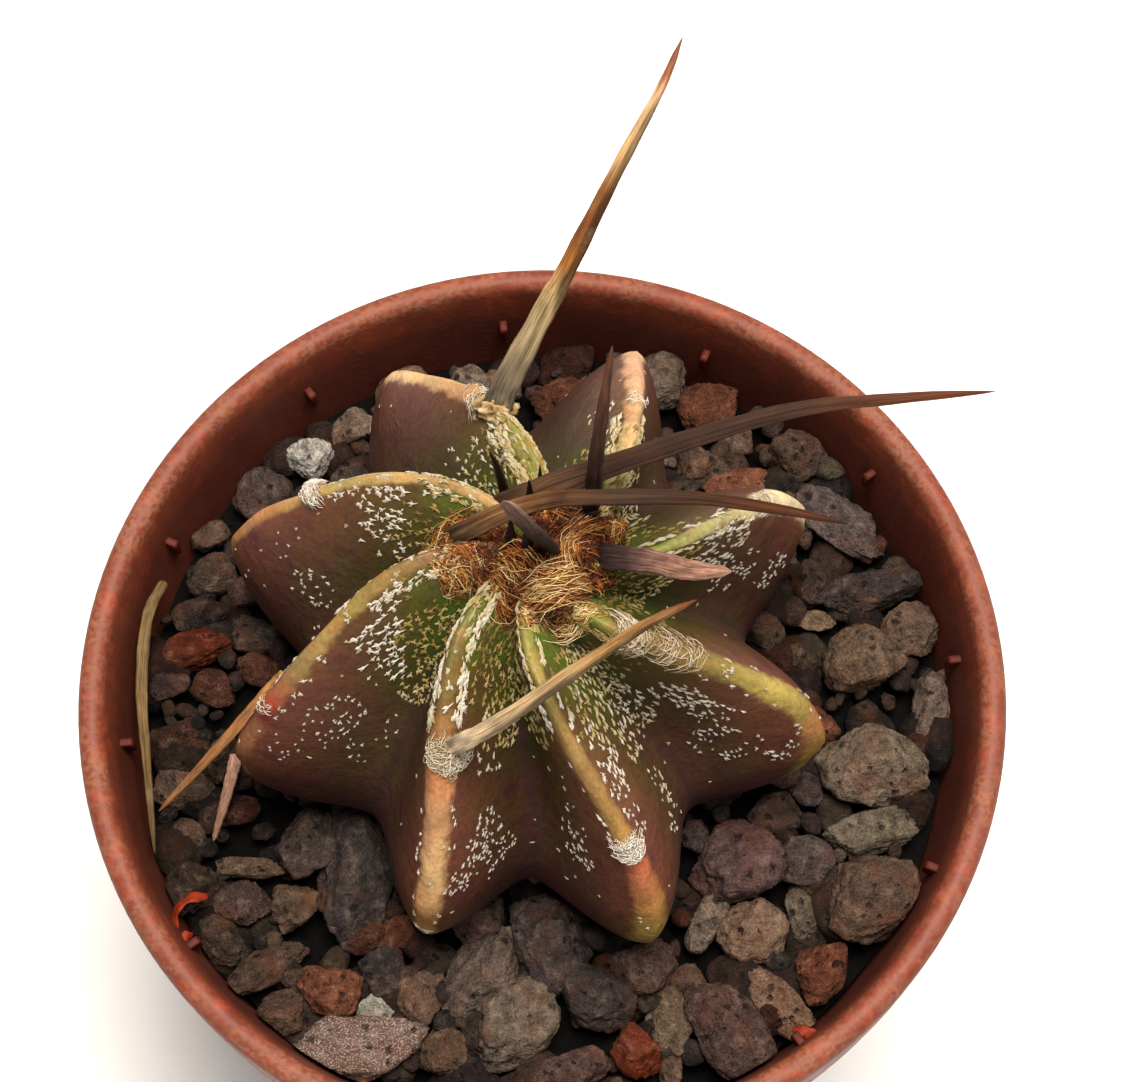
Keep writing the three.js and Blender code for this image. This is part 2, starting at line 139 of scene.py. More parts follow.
class StemSettings(bpy.types.PropertyGroup):
    """The eight-ribbed stem and its flecks."""

    around: IntProperty(name="Around", description="Faces round one rib", default=42, min=8)
    along: IntProperty(name="Along", description="Rings from crown to root", default=200, min=40)
    band: FloatProperty(
        name="Ridge band", description="Half width of the pale band on a rib", default=0.00085, unit="LENGTH",
    )
    fleck_lift: FloatProperty(
        name="Fleck height", description="How far a fleck stands up", default=0.00014, unit="LENGTH",
    )


class WoolSettings(bpy.types.PropertyGroup):
    """Wool of the crown and felt of the areoles."""

    thickness: FloatProperty(
        name="Thickness", description="Hairs in the crown wool, as a share of the usual number", default=1.0,
        min=0.1, subtype="FACTOR",
    )
    strand: FloatProperty(name="Strand", description="Half width of a hair", default=0.00003, unit="LENGTH")


class SpineSettings(bpy.types.PropertyGroup):
    """Flat papery spines."""

    around: IntProperty(name="Around", description="Faces round a spine", default=32, min=8)
    along: IntProperty(name="Along", description="Faces along a spine", default=72, min=10)
    groove: FloatProperty(
        name="Groove", description="Depth of a groove as a share of the half thickness", default=0.34, min=0,
        max=0.9,
    )


# Shared helpers


def settings(name):
    return getattr(bpy.context.scene, "cactus_" + name)


def clear_selection():
    if bpy.context.object and bpy.context.object.mode != "OBJECT":
        bpy.ops.object.mode_set(mode="OBJECT")
    bpy.ops.object.select_all(action="DESELECT")


def named(name):
    """The piece that an operator has just added, under its own name."""
    piece = bpy.context.object
    piece.name = name
    piece.data.name = name
    return piece


def points_of(piece):
    flat = np.zeros(len(piece.data.vertices) * 3)
    piece.data.vertices.foreach_get("co", flat)
    return flat.reshape(-1, 3)


def lay(piece, points):
    """Puts every vertex of a piece at its point, in metres."""
    piece.data.vertices.foreach_set("co", np.asarray(points, float).reshape(-1))
    piece.data.update()


def repeated(piece, count):
    """Repeats the active piece's shape count times in one mesh, so that each copy can be laid in place."""
    copies = piece.modifiers.new("Copies", "ARRAY")
    copies.count = count
    copies.use_relative_offset = False
    copies.use_constant_offset = True
    copies.constant_offset_displace = (3, 0, 0)
    bpy.ops.object.modifier_apply(modifier=copies.name)


def round_piece(name, segments, rings, copies=1):
    """A ball, or copies of one, to be laid in a new form, with the points, levels and ways of the first.

    Levels run from 0 at the top to 1 at the bottom, and ways are angles round the upright axis.
    """
    clear_selection()
    bpy.ops.mesh.primitive_uv_sphere_add(segments=segments, ring_count=rings, radius=1)
    piece = named(name)
    ball = points_of(piece)
    if copies > 1:
        repeated(piece, copies)
    level = np.arccos(np.clip(ball[:, 2], -1, 1)) / np.pi
    return piece, ball, level, np.arctan2(ball[:, 1], ball[:, 0])


def paint(piece, name, values):
    """Stores a number or a colour at every vertex, for the piece's material to read."""
    values = np.asarray(values, np.float32)
    kind = "FLOAT" if values.ndim == 1 else "FLOAT_COLOR"
    layer = piece.data.attributes.new(name, kind, "POINT")
    layer.data.foreach_set("value" if kind == "FLOAT" else "color", values.reshape(-1))


def finish_piece(piece, material, slot, *nodes, smooth=True):
    """Gives a piece its material, the body it rides on and the CAD nodes that it stands for. The slot is not
    used.
    """
    piece.data.materials.clear()
    piece.data.materials.append(material)
    if smooth:
        piece.data.shade_smooth()
    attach(piece, "root")
    if nodes:
        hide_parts(*nodes)


def new_material(name):
    """An empty material."""
    material = bpy.data.materials.new(name)
    material.use_nodes = True
    material.node_tree.nodes.clear()
    return material


def add_node(material, kind, inputs=(), stops=(), **options):
    """Adds a node with its options. A node given as an input stands for its first output."""
    made = material.node_tree.nodes.new("ShaderNode" + kind)
    for key, value in options.items():
        setattr(made, key, value)
    for socket, value in dict(inputs).items():
        if isinstance(value, bpy.types.Node):
            value = value.outputs[0]
        if isinstance(value, bpy.types.NodeSocket):
            material.node_tree.links.new(value, made.inputs[socket])
        else:
            made.inputs[socket].default_value = value
    if stops:
        ramp = made.color_ramp.elements
        while len(ramp) < len(stops):
            ramp.new(0.5)
        for element, (place, colour) in zip(ramp, stops):
            element.position = place
            element.color = linear(colour) if isinstance(colour, str) else (colour, colour, colour, 1)
    return made


# The form of the stem: the same values and rule as in the CAD source

STEM_FOOT = (-1.37, 2.06)
STEM_LEAN = (0.056, 0.038)
RIB_TWIST = 49.5
TWIST_POWER = 1.74
WIDEST_CREST = 19.9
TIPS = np.array([25.9, 70.0, 117.8, 160.5, 202.9, 251.3, 292.5, 340.2])
RIBS = len(TIPS)
REACH = np.array([1.0, 1.05, 1.02, 1.025, 0.995, 0.98, 1.04, 1.0])
CREST_LINE = np.array([
    (0, 20.5), (1.2, 20.9), (3.4, 21.5), (8.4, 21.1), (13, 18.4), (17.1, 14.1), (19.6, 9.5), (19.9, 6.3),
    (19.2, 3.3), (17.2, 1), (13.6, -0.8), (9.6, -2.2), (6.5, -4), (4.6, -8), (2.6, -13), (0, -17),
])
VALLEY_LINE = np.array([
    (0, 20.5), (0.9, 20.5), (2.2, 20.2), (4.6, 18.4), (7.6, 15.4), (10.8, 11.6), (13.2, 8.2), (14.2, 5.6),
    (14.2, 3), (12.8, 0.6), (10.8, -1.1), (8.4, -2.4), (6.2, -4), (4.6, -8), (2.6, -13), (0, -17),
])


def spline_at(stops, share):
    """Spots on a smooth line through stops, and its slope there. The two end stops only steer the line."""
    last = len(stops) - 3
    place = last * np.clip(share, 0, 1)
    low = np.minimum(np.floor(place).astype(int), last - 1)
    part = (place - low)[..., None]
    before, here, after, beyond = (stops[low + step] for step in range(4))
    start = (after - before) / 2
    end = (beyond - here) / 2
    cubic = 2 * here - 2 * after + start + end
    square = 3 * after - 3 * here - 2 * start - end
    return (
        cubic * part**3 + square * part**2 + start * part + here,
        3 * cubic * part**2 + 2 * square * part + start,
    )


def outline_at(line, share):
    """Radius and height at each share of one of the stem's outlines."""
    return spline_at(np.vstack([line[0], line, line[-1]]), share)[0]


def stem_at(turn, share):
    """Points of the stem in metres: turn counts ribs from 0 to 8, share goes from the crown to the root."""
    turn = np.asarray(turn, float) % RIBS
    share = np.asarray(share, float)
    rib = np.minimum(turn.astype(int), RIBS - 1)
    part = turn - rib
    after = (rib + 1) % RIBS
    offset = np.where(part < 0.5, 2 * part, 2 * (1 - part))
    blend = np.clip(1 - offset**1.5, 0, 1) ** 1.9
    crest = outline_at(CREST_LINE, share)
    valley = outline_at(VALLEY_LINE, share)
    reach = REACH[rib] + (REACH[after] - REACH[rib]) * part
    stretch = 1 + (reach - 1) * np.clip(crest[..., 0] / 10, 0, 1)
    radius = (valley[..., 0] + (crest[..., 0] - valley[..., 0]) * blend) * stretch
    height = valley[..., 1] + (crest[..., 1] - valley[..., 1]) * blend
    next_tip = TIPS[after] + np.where(after == 0, 360, 0)
    wound = np.clip(1 - crest[..., 0] / WIDEST_CREST, 0, None) ** TWIST_POWER
    twist = np.where(share < 0.5, RIB_TWIST * wound, 0)
    angle = np.radians(TIPS[rib] + (next_tip - TIPS[rib]) * part - twist)
    rise = np.maximum(0, height)
    x = STEM_FOOT[0] + STEM_LEAN[0] * rise + radius * np.cos(angle)
    y = STEM_FOOT[1] + STEM_LEAN[1] * rise + radius * np.sin(angle)
    return np.stack([x, y, GRAVEL_LEVEL + height], axis=-1) * MM


def unit(vectors):
    return vectors / np.maximum(np.linalg.norm(vectors, axis=-1, keepdims=True), 1e-12)


def ways_across(ahead, facing):
    """The two ways square to a line that runs ahead: across its flat face, and out of it."""
    side = unit(np.cross(ahead, facing))
    return side, np.cross(side, ahead)


def stem_frame(turn, share):
    """The skin at each spot: the ways down the rib, across it and out, and the slopes round and down."""
    round_slope = (stem_at(turn + 0.004, share) - stem_at(turn - 0.004, share)) / 0.008
    down_slope = (stem_at(turn, share + 0.002) - stem_at(turn, share - 0.002)) / 0.004
    out = unit(np.cross(down_slope, round_slope))
    down = unit(down_slope)
    return down, np.cross(out, down), out, round_slope, down_slope


def spots_beside(turn, share, along, across):
    """Turn and share of the spots that lie so many metres down the rib and across it from others."""
    down, side, _, round_slope, down_slope = stem_frame(turn, share)
    way = down * along[..., None] + side * across[..., None]
    rr = (round_slope**2).sum(-1)
    rd = (round_slope * down_slope).sum(-1)
    dd = (down_slope**2).sum(-1)
    wr = (way * round_slope).sum(-1)
    wd = (way * down_slope).sum(-1)
    size = rr * dd - rd**2
    return turn + (dd * wr - rd * wd) / size, share + (rr * wd - rd * wr) / size


# Felt pads: rib, share of the crest line, length, width, strands, whiteness, length of a strand
AREOLES = [
    (0, 0.3, 2.2, 1.0, 50, 0.8, 0.6),
    (1, 0.258, 1.0, 1.0, 14, 0.85, 0.6),
    (2, 0.245, 1.2, 1.7, 70, 0.72, 0.7),
    (1.98, 0.256, 1.2, 1.3, 50, 0.6, 0.6),
    (3, 0.292, 1.5, 1.3, 130, 0.9, 0.7),
    (4, 0.343, 1.1, 0.8, 30, 0.75, 0.5),
    (5.05, 0.266, 2.3, 2.5, 320, 0.62, 1.0),
    (6, 0.32, 1.7, 1.5, 150, 0.88, 0.8),
    (6.98, 0.192, 2.2, 1.9, 180, 0.56, 1.2),
    (7.02, 0.222, 3.8, 1.8, 125, 0.4, 1.6),
]

# The felt knob that the rear spine grows from: centre, half sizes, whiteness and roughness
REAR_KNOB = ((-2.75, 13.1, 63.8), (1.3, 0.85, 0.85), 0.2, 0.34)

# Colour of each rib's pale band from the crown down
RIDGE_TINTS = [
    [(0.1, "#6c7f30"), (0.2, "#90904e"), (0.28, "#b4a476"), (0.34, "#dccda2"), (0.5, "#cdb98c")],
    [(0.1, "#8a9440"), (0.16, "#a89c60"), (0.22, "#b89468"), (0.3, "#c09470"), (0.4, "#dcb088"),
     (0.5, "#dcbc90")],
    [(0.1, "#5f8430"), (0.2, "#7c7a3c"), (0.26, "#b0845a"), (0.33, "#d6b07c"), (0.41, "#dcb48c"),
     (0.46, "#cc8e68"), (0.5, "#b07452")],
    [(0.1, "#5c7a2c"), (0.15, "#9a7a50"), (0.22, "#ac8c58"), (0.27, "#a8945c"), (0.31, "#a5814e"),
     (0.34, "#ab7546"), (0.5, "#96753f")],
    [(0.1, "#6c4c34"), (0.16, "#6e4a34"), (0.2, "#7c6238"), (0.25, "#86743c"), (0.3, "#8c7446"),
     (0.335, "#8a3c2a"), (0.35, "#7a1e1c"), (0.37, "#8c5c3c"), (0.5, "#6c482c")],
    [(0.1, "#4c6c22"), (0.16, "#5e602a"), (0.24, "#705832"), (0.275, "#a8683c"), (0.3, "#b8845c"),
     (0.36, "#c09c6c"), (0.42, "#a87844"), (0.46, "#a47c44"), (0.5, "#a08a52")],
    [(0.1, "#587636"), (0.18, "#827438"), (0.26, "#84643a"), (0.31, "#8c6c38"), (0.335, "#9c5036"),
     (0.37, "#a06c3c"), (0.42, "#98803e"), (0.5, "#8a7c48")],
    [(0.1, "#4c7c22"), (0.2, "#6c5c34"), (0.26, "#847036"), (0.32, "#9c8a44"), (0.36, "#9a8644"),
     (0.385, "#a67248"), (0.42, "#98763c"), (0.5, "#928846")],
]
# Half width of each rib's band against the usual one, from the crown down
BAND_SHAPES = [
    [(0.1, 0.5), (0.25, 0.6), (0.32, 1.1), (0.42, 1.3)],
    [(0.1, 0.6), (0.2, 0.9), (0.4, 1.05)],
    [(0.1, 0.9), (0.22, 1.0), (0.3, 0.8), (0.42, 0.9)],
    [(0.1, 0.5), (0.2, 0.6), (0.35, 0.7), (0.45, 0.9)],
    [(0.1, 1.0), (0.2, 0.85), (0.33, 0.9), (0.42, 0.8)],
    [(0.1, 0.55), (0.2, 0.8), (0.28, 1.1), (0.36, 1.1), (0.45, 0.9)],
    [(0.1, 0.5), (0.2, 0.7), (0.32, 0.8), (0.38, 1.2), (0.45, 1.5)],
    [(0.1, 0.7), (0.25, 1.1), (0.34, 1.0), (0.38, 1.4), (0.42, 2.2), (0.5, 2.4)],
]
# Colour of the flanks from the crown down, first in the valleys, then close to the ribs
VALLEY_TINT = [
    (0.06, "#316c16"), (0.16, "#2c5a10"), (0.22, "#2e4a10"), (0.27, "#343410"), (0.34, "#44331c"),
    (0.42, "#443020"), (0.5, "#301c15"),
]
FLANK_TINT = [
    (0.06, "#46761c"), (0.13, "#486c1a"), (0.18, "#4a5218"), (0.22, "#543e1c"), (0.3, "#6a3e2a"),
    (0.38, "#6c392c"), (0.44, "#5e3430"), (0.5, "#4e2a2c"),
]
# How far the flank turns olive round the tip of each rib
TIP_GLOW = [0.5, 0.4, 0.4, 0.5, 0.2, 0.5, 0.75, 1.0]

# Patches of flecks on the flanks: turn, share, their half spreads, number, whiteness, length and width
FLECK_PATCHES = [
    (3.38, 0.2, 0.16, 0.03, 46, 0.35, 0.62, 0.44), (3.14, 0.238, 0.06, 0.016, 22, 0.92, 0.8, 0.42),
    (3.24, 0.258, 0.06, 0.016, 16, 0.86, 0.75, 0.46), (3.32, 0.235, 0.09, 0.02, 22, 0.55, 0.62, 0.46),
    (3.28, 0.35, 0.07, 0.018, 15, 0.9, 0.6, 0.3), (3.12, 0.33, 0.05, 0.03, 5, 0.85, 0.45, 0.3),
    (4.17, 0.25, 0.05, 0.013, 26, 1.0, 0.85, 0.34), (4.26, 0.274, 0.05, 0.013, 16, 0.98, 0.78, 0.34),
    (4.4, 0.24, 0.14, 0.026, 74, 0.5, 0.66, 0.44), (4.46, 0.284, 0.1, 0.016, 46, 0.6, 0.62, 0.36),
    (4.5, 0.19, 0.2, 0.03, 42, 0.4, 0.6, 0.44), (4.12, 0.215, 0.04, 0.012, 7, 0.95, 0.8, 0.3),
    (4.2, 0.33, 0.07, 0.018, 24, 0.95, 0.55, 0.26), (4.16, 0.372, 0.06, 0.016, 8, 0.85, 0.45, 0.26),
    (4.36, 0.35, 0.06, 0.022, 8, 0.8, 0.5, 0.26), (4.84, 0.245, 0.08, 0.02, 34, 0.55, 0.7, 0.34),
    (5.38, 0.205, 0.16, 0.036, 92, 0.45, 0.66, 0.34), (5.38, 0.262, 0.12, 0.02, 66, 0.62, 0.72, 0.28),
    (5.27, 0.282, 0.06, 0.014, 12, 0.95, 0.75, 0.28), (5.66, 0.24, 0.12, 0.026, 52, 0.6, 0.72, 0.3),
    (5.22, 0.346, 0.06, 0.018, 44, 0.97, 0.66, 0.26), (5.13, 0.374, 0.04, 0.012, 18, 0.97, 0.6, 0.26),
    (5.3, 0.38, 0.07, 0.014, 14, 0.9, 0.52, 0.24), (5.74, 0.36, 0.05, 0.018, 20, 0.95, 0.66, 0.26),
    (5.78, 0.318, 0.03, 0.02, 5, 0.9, 0.5, 0.26), (6.4, 0.24, 0.2, 0.034, 128, 0.66, 0.72, 0.3),
    (6.46, 0.29, 0.16, 0.02, 70, 0.78, 0.72, 0.28), (6.15, 0.262, 0.04, 0.02, 26, 0.95, 0.76, 0.34),
    (6.76, 0.282, 0.06, 0.018, 40, 0.92, 0.74, 0.26), (6.78, 0.32, 0.06, 0.02, 14, 0.95, 0.7, 0.28),
    (6.72, 0.362, 0.08, 0.02, 22, 0.9, 0.66, 0.3), (6.1, 0.3, 0.03, 0.02, 14, 0.95, 0.55, 0.26),
    (6.3, 0.36, 0.05, 0.03, 22, 0.85, 0.66, 0.34), (6.86, 0.392, 0.04, 0.014, 6, 0.95, 0.8, 0.4),
    (6.52, 0.18, 0.22, 0.03, 60, 0.42, 0.62, 0.4), (7.52, 0.2, 0.2, 0.036, 84, 0.5, 0.64, 0.4),
    (7.8, 0.28, 0.08, 0.022, 40, 0.82, 0.8, 0.34), (7.7, 0.24, 0.1, 0.024, 46, 0.62, 0.8, 0.36),
    (7.72, 0.33, 0.07, 0.02, 18, 0.86, 0.66, 0.36), (7.76, 0.395, 0.05, 0.018, 16, 0.88, 0.7, 0.42),
    (7.92, 0.262, 0.04, 0.02, 18, 0.9, 0.66, 0.34), (0.5, 0.19, 0.22, 0.036, 96, 0.55, 0.7, 0.32),
    (0.8, 0.19, 0.1, 0.03, 60, 0.72, 0.9, 0.26), (0.55, 0.26, 0.16, 0.024, 40, 0.66, 0.7, 0.34),
    (1.16, 0.19, 0.08, 0.03, 50, 0.7, 0.8, 0.28), (1.4, 0.2, 0.2, 0.034, 70, 0.5, 0.66, 0.4),
    (1.16, 0.26, 0.05, 0.02, 14, 0.9, 0.66, 0.3), (1.6, 0.25, 0.14, 0.022, 30, 0.66, 0.66, 0.34),
    (2.26, 0.22, 0.1, 0.022, 26, 0.72, 0.66, 0.36), (2.5, 0.195, 0.2, 0.026, 54, 0.48, 0.62, 0.42),
    (2.36, 0.262, 0.1, 0.018, 12, 0.85, 0.55, 0.34), (2.72, 0.23, 0.1, 0.022, 22, 0.66, 0.6, 0.36),
    (2.9, 0.32, 0.05, 0.03, 8, 0.85, 0.5, 0.3), (4.98, 0.474, 0.03, 0.006, 4, 1.0, 1.2, 0.9),
]
# Flecks along both edges of a band: rib, first and last share, number a side, length, width, whiteness
FLECK_EDGES = [
    (0, 0.12, 0.29, 30, 0.8, 0.34, 0.78), (1, 0.12, 0.25, 40, 1.0, 0.36, 0.66),
    (2, 0.12, 0.225, 64, 1.35, 0.5, 0.68), (3, 0.11, 0.2, 40, 0.7, 0.36, 0.7),
    (3, 0.2, 0.285, 16, 0.5, 0.26, 0.85), (4, 0.13, 0.24, 40, 0.66, 0.34, 0.84),
    (4, 0.28, 0.35, 8, 0.6, 0.3, 0.92), (5, 0.12, 0.252, 46, 1.0, 0.36, 0.84),
    (5, 0.29, 0.43, 9, 0.5, 0.24, 0.9), (6, 0.12, 0.235, 34, 0.8, 0.32, 0.78),
    (6, 0.235, 0.315, 6, 0.6, 0.28, 0.9), (7, 0.1, 0.2, 40, 0.9, 0.4, 0.5),
    (7, 0.28, 0.42, 8, 0.4, 0.26, 0.9),
]
# Flecks on the bands themselves: rib, first and last share, number, length and whiteness
BAND_FLECKS = [
    (2, 0.13, 0.225, 60, 1.1, 0.66), (1, 0.12, 0.23, 60, 0.9, 0.62), (5, 0.13, 0.24, 26, 0.8, 0.8),
    (4, 0.12, 0.26, 30, 0.6, 0.8), (7, 0.24, 0.28, 16, 0.7, 0.8), (0, 0.14, 0.27, 20, 0.7, 0.7),
    (6, 0.12, 0.2, 12, 0.6, 0.6), (3, 0.12, 0.28, 44, 0.55, 0.85),
]
# Small flecks strewn over the flanks below the crown
LOOSE_FLECKS = 150
# Golden flecks that crowd the valleys round the crown: turn of the valley and number
CROWN_FLECKS = [
    (0.5, 160), (1.5, 140), (2.5, 120), (3.5, 170), (4.5, 260), (5.5, 240), (6.5, 260), (7.5, 220),
]

# Long spines: the CAD node, its route, full widths, thickness, the way the flat faces, and tints along it
VIEW = (0, -0.36, 0.93)
SPINES = {
    "spine_rear_rib": (
        [(-2.7, 13, 64.05), (-2.05, 14.3, 65.2), (0.3, 17.8, 68.2), (1.7, 19.6, 70.3), (4.6, 24.3, 73.6),
         (7.1, 28.4, 75.8), (8.5, 31.5, 76.8)],
        [1.9, 1.7, 1.4, 1.16, 0.86, 0.58, 0.24], 0.9, VIEW,
        [(0, "#3e372d"), (0.1, "#4c4437"), (0.22, "#6c5e4a"), (0.33, "#927e58"), (0.43, "#ac8c5c"),
         (0.5, "#8c5a26"), (0.56, "#5e3210"), (0.63, "#74461e"), (0.7, "#b89464"), (0.82, "#b8966e"),
         (0.87, "#8a5438"), (0.93, "#6c3828"), (1, "#60342a")],
        "spine_weathered",
    ),
    "spine_long_dark": (
        [(-4.2, 6.4, 62.6), (-2.4, 6.1, 65), (0.3, 6.7, 66.6), (3.5, 7.5, 67.6), (9.4, 8.8, 69.6),
         (15.2, 10, 70.8), (21.1, 10.7, 70.8), (27, 11.6, 69.8)],
        [1.5, 1.7, 1.6, 1.3, 1, 0.7, 0.3], 0.8, VIEW,
        [(0, "#160d09"), (0.15, "#30200f"), (0.3, "#442c1a"), (0.45, "#321d11"), (0.7, "#2e190e"),
         (0.86, "#542e18"), (1, "#5c2c18")],
        "spine_dark",
    ),
    "spine_right_dark": (
        [(-6.4, 5.2, 60.6), (-5.6, 4.6, 63.4), (-4.1, 4.4, 66), (-2, 4.5, 68.4), (0.6, 4.7, 69.8),
         (3.5, 4.7, 70.2), (9.4, 5.1, 69), (14.9, 5.4, 66.2), (18.7, 5.5, 63.8)],
        [1.3, 1.4, 1.2, 1.05, 0.95, 0.7, 0.25], 0.7, VIEW,
        [(0, "#0f0a09"), (0.12, "#1e1410"), (0.25, "#5e442c"), (0.4, "#785232"), (0.52, "#4a2c14"),
         (0.66, "#2e1c0e"), (0.84, "#4a2710"), (1, "#34180a")],
        "spine_dark",
    ),
    "spine_right_short": (
        [(2.5, 3.7, 62.4), (3.6, 2.8, 65.4), (6.4, 1.4, 68.4), (8.7, 0.2, 70.2), (11, -0.4, 71.6)],
        [1.5, 1.6, 1.5, 1.2, 0.5], 0.8, VIEW,
        [(0, "#120b0b"), (0.25, "#1e1414"), (0.4, "#3c2c2a"), (0.5, "#6e5048"), (0.75, "#8c6656"),
         (1, "#94705c")],
        "spine_dark",
    ),
    "spine_rear_short": (
        [(2.9, 5.6, 63.2), (3, 5.8, 66), (3.2, 6.2, 68.4), (3.3, 6.9, 70.8), (3.7, 8.8, 74),
         (4.2, 11.6, 76.2)],
        [1.1, 1.1, 1, 0.8, 0.3], 0.7, VIEW,
        [(0, "#120a08"), (0.4, "#241410"), (0.75, "#3c2418"), (1, "#4c2e1e")],
        "spine_dark",
    ),
    "spine_upright": (
        [(0.8, 3.9, 62.8), (0.4, 3, 67), (-0.4, 2.6, 70.4), (-1.1, 2.3, 73.2), (-1.8, 2.4, 75.4)],
        [1.7, 1.7, 1.6, 1.4, 0.9], 0.9, (-0.45, -0.85, 0.3),
        [(0, "#0f0a09"), (0.35, "#1e1614"), (0.6, "#44342e"), (0.8, "#6a5046"), (1, "#84665a")],
        "spine_dark",
    ),
    "spine_front_tan": (
        [(-5.9, -8, 61.2), (-4.5, -8.2, 64), (-2.2, -7.6, 66.2), (2.6, -5.1, 69), (6.3, -3.1, 70.6),
         (9, -2, 71.4)],
        [1.15, 1.15, 1, 0.85, 0.62, 0.25], 0.7, VIEW,
        [(0, "#b4a48c"), (0.2, "#b09c80"), (0.38, "#b29a78"), (0.54, "#a2845c"), (0.66, "#8c683c"),
         (0.82, "#7c5630"), (0.93, "#62391c"), (1, "#66341c")],
        "spine_weathered",
    ),
    "fallen_spine_1": (
        [(-25.4, 8.5, 45.9), (-26.4, 5.8, 46), (-26.5, 0.9, 46), (-25.9, -3.9, 46), (-25, -10.4, 45.8)],
        [0.7, 0.8, 0.8, 0.6, 0.3], 0.6, (0, 0, 1),
        [(0, "#584626"), (0.5, "#6a5432"), (1, "#4c361c")],
        "spine_dropped",
    ),
    "fallen_spine_2": (
        [(-16.8, 1.4, 47.6), (-18, 0.2, 47.3), (-21.4, -3.8, 46.9), (-24.8, -7.8, 46.9)],
        [0.9, 0.9, 0.7, 0.3], 0.6, (0, 0, 1),
        [(0, "#8a6236"), (0.5, "#80542c"), (1, "#643f20")],
        "spine_dropped",
    ),
    "fallen_spine_3": (
        [(-20, -3.6, 46), (-20.6, -6.6, 45.9), (-21.3, -9.4, 45.7)],
        [0.9, 0.7, 0.3], 0.6, (0, 0, 1),
        [(0, "#8c6a58"), (1, "#6c4c3e")],
        "spine_dropped",
    ),
}

# Crown wool: centre and half sizes of each matted lobe, its whiteness and its share of the short hairs
LOBES = [
    ((-4.6, 4.1, 62.9), (1.7, 1.4, 1.6), 0.24, 0.16),
    ((-4.3, 2.6, 62.9), (1.5, 1.2, 1.4), 0.24, 0.16),
    ((-2.4, 3.8, 63.7), (1.9, 1.8, 1.5), 0.16, 0.15),
    ((-1.2, 1.2, 64), (1.5, 1.3, 1.6), 0.24, 0.14),
    ((1.1, 1.1, 64.2), (2, 1.3, 1.6), 0.24, 0.09),
    ((0.5, 4.5, 64.2), (2.4, 2, 1.6), 0.16, 0.11),
    ((3, 4.6, 63.7), (1.8, 2.1, 1.9), 0.1, 0.11),
    ((3.3, 2.4, 64.1), (1.5, 1.4, 1.5), 0.1, 0.08),
]
# Deep pockets where the wool shows its rusty inside, darkened further with painted shade
POCKETS = [
    (-0.6, 2.4, 65.3), (2.9, 3.2, 65), (-4.4, 3.7, 64), (2.4, 4.9, 65), (-1.6, 0.4, 64.4), (-2.4, 3, 64.8),
    (0.4, 3.4, 65.6),
]
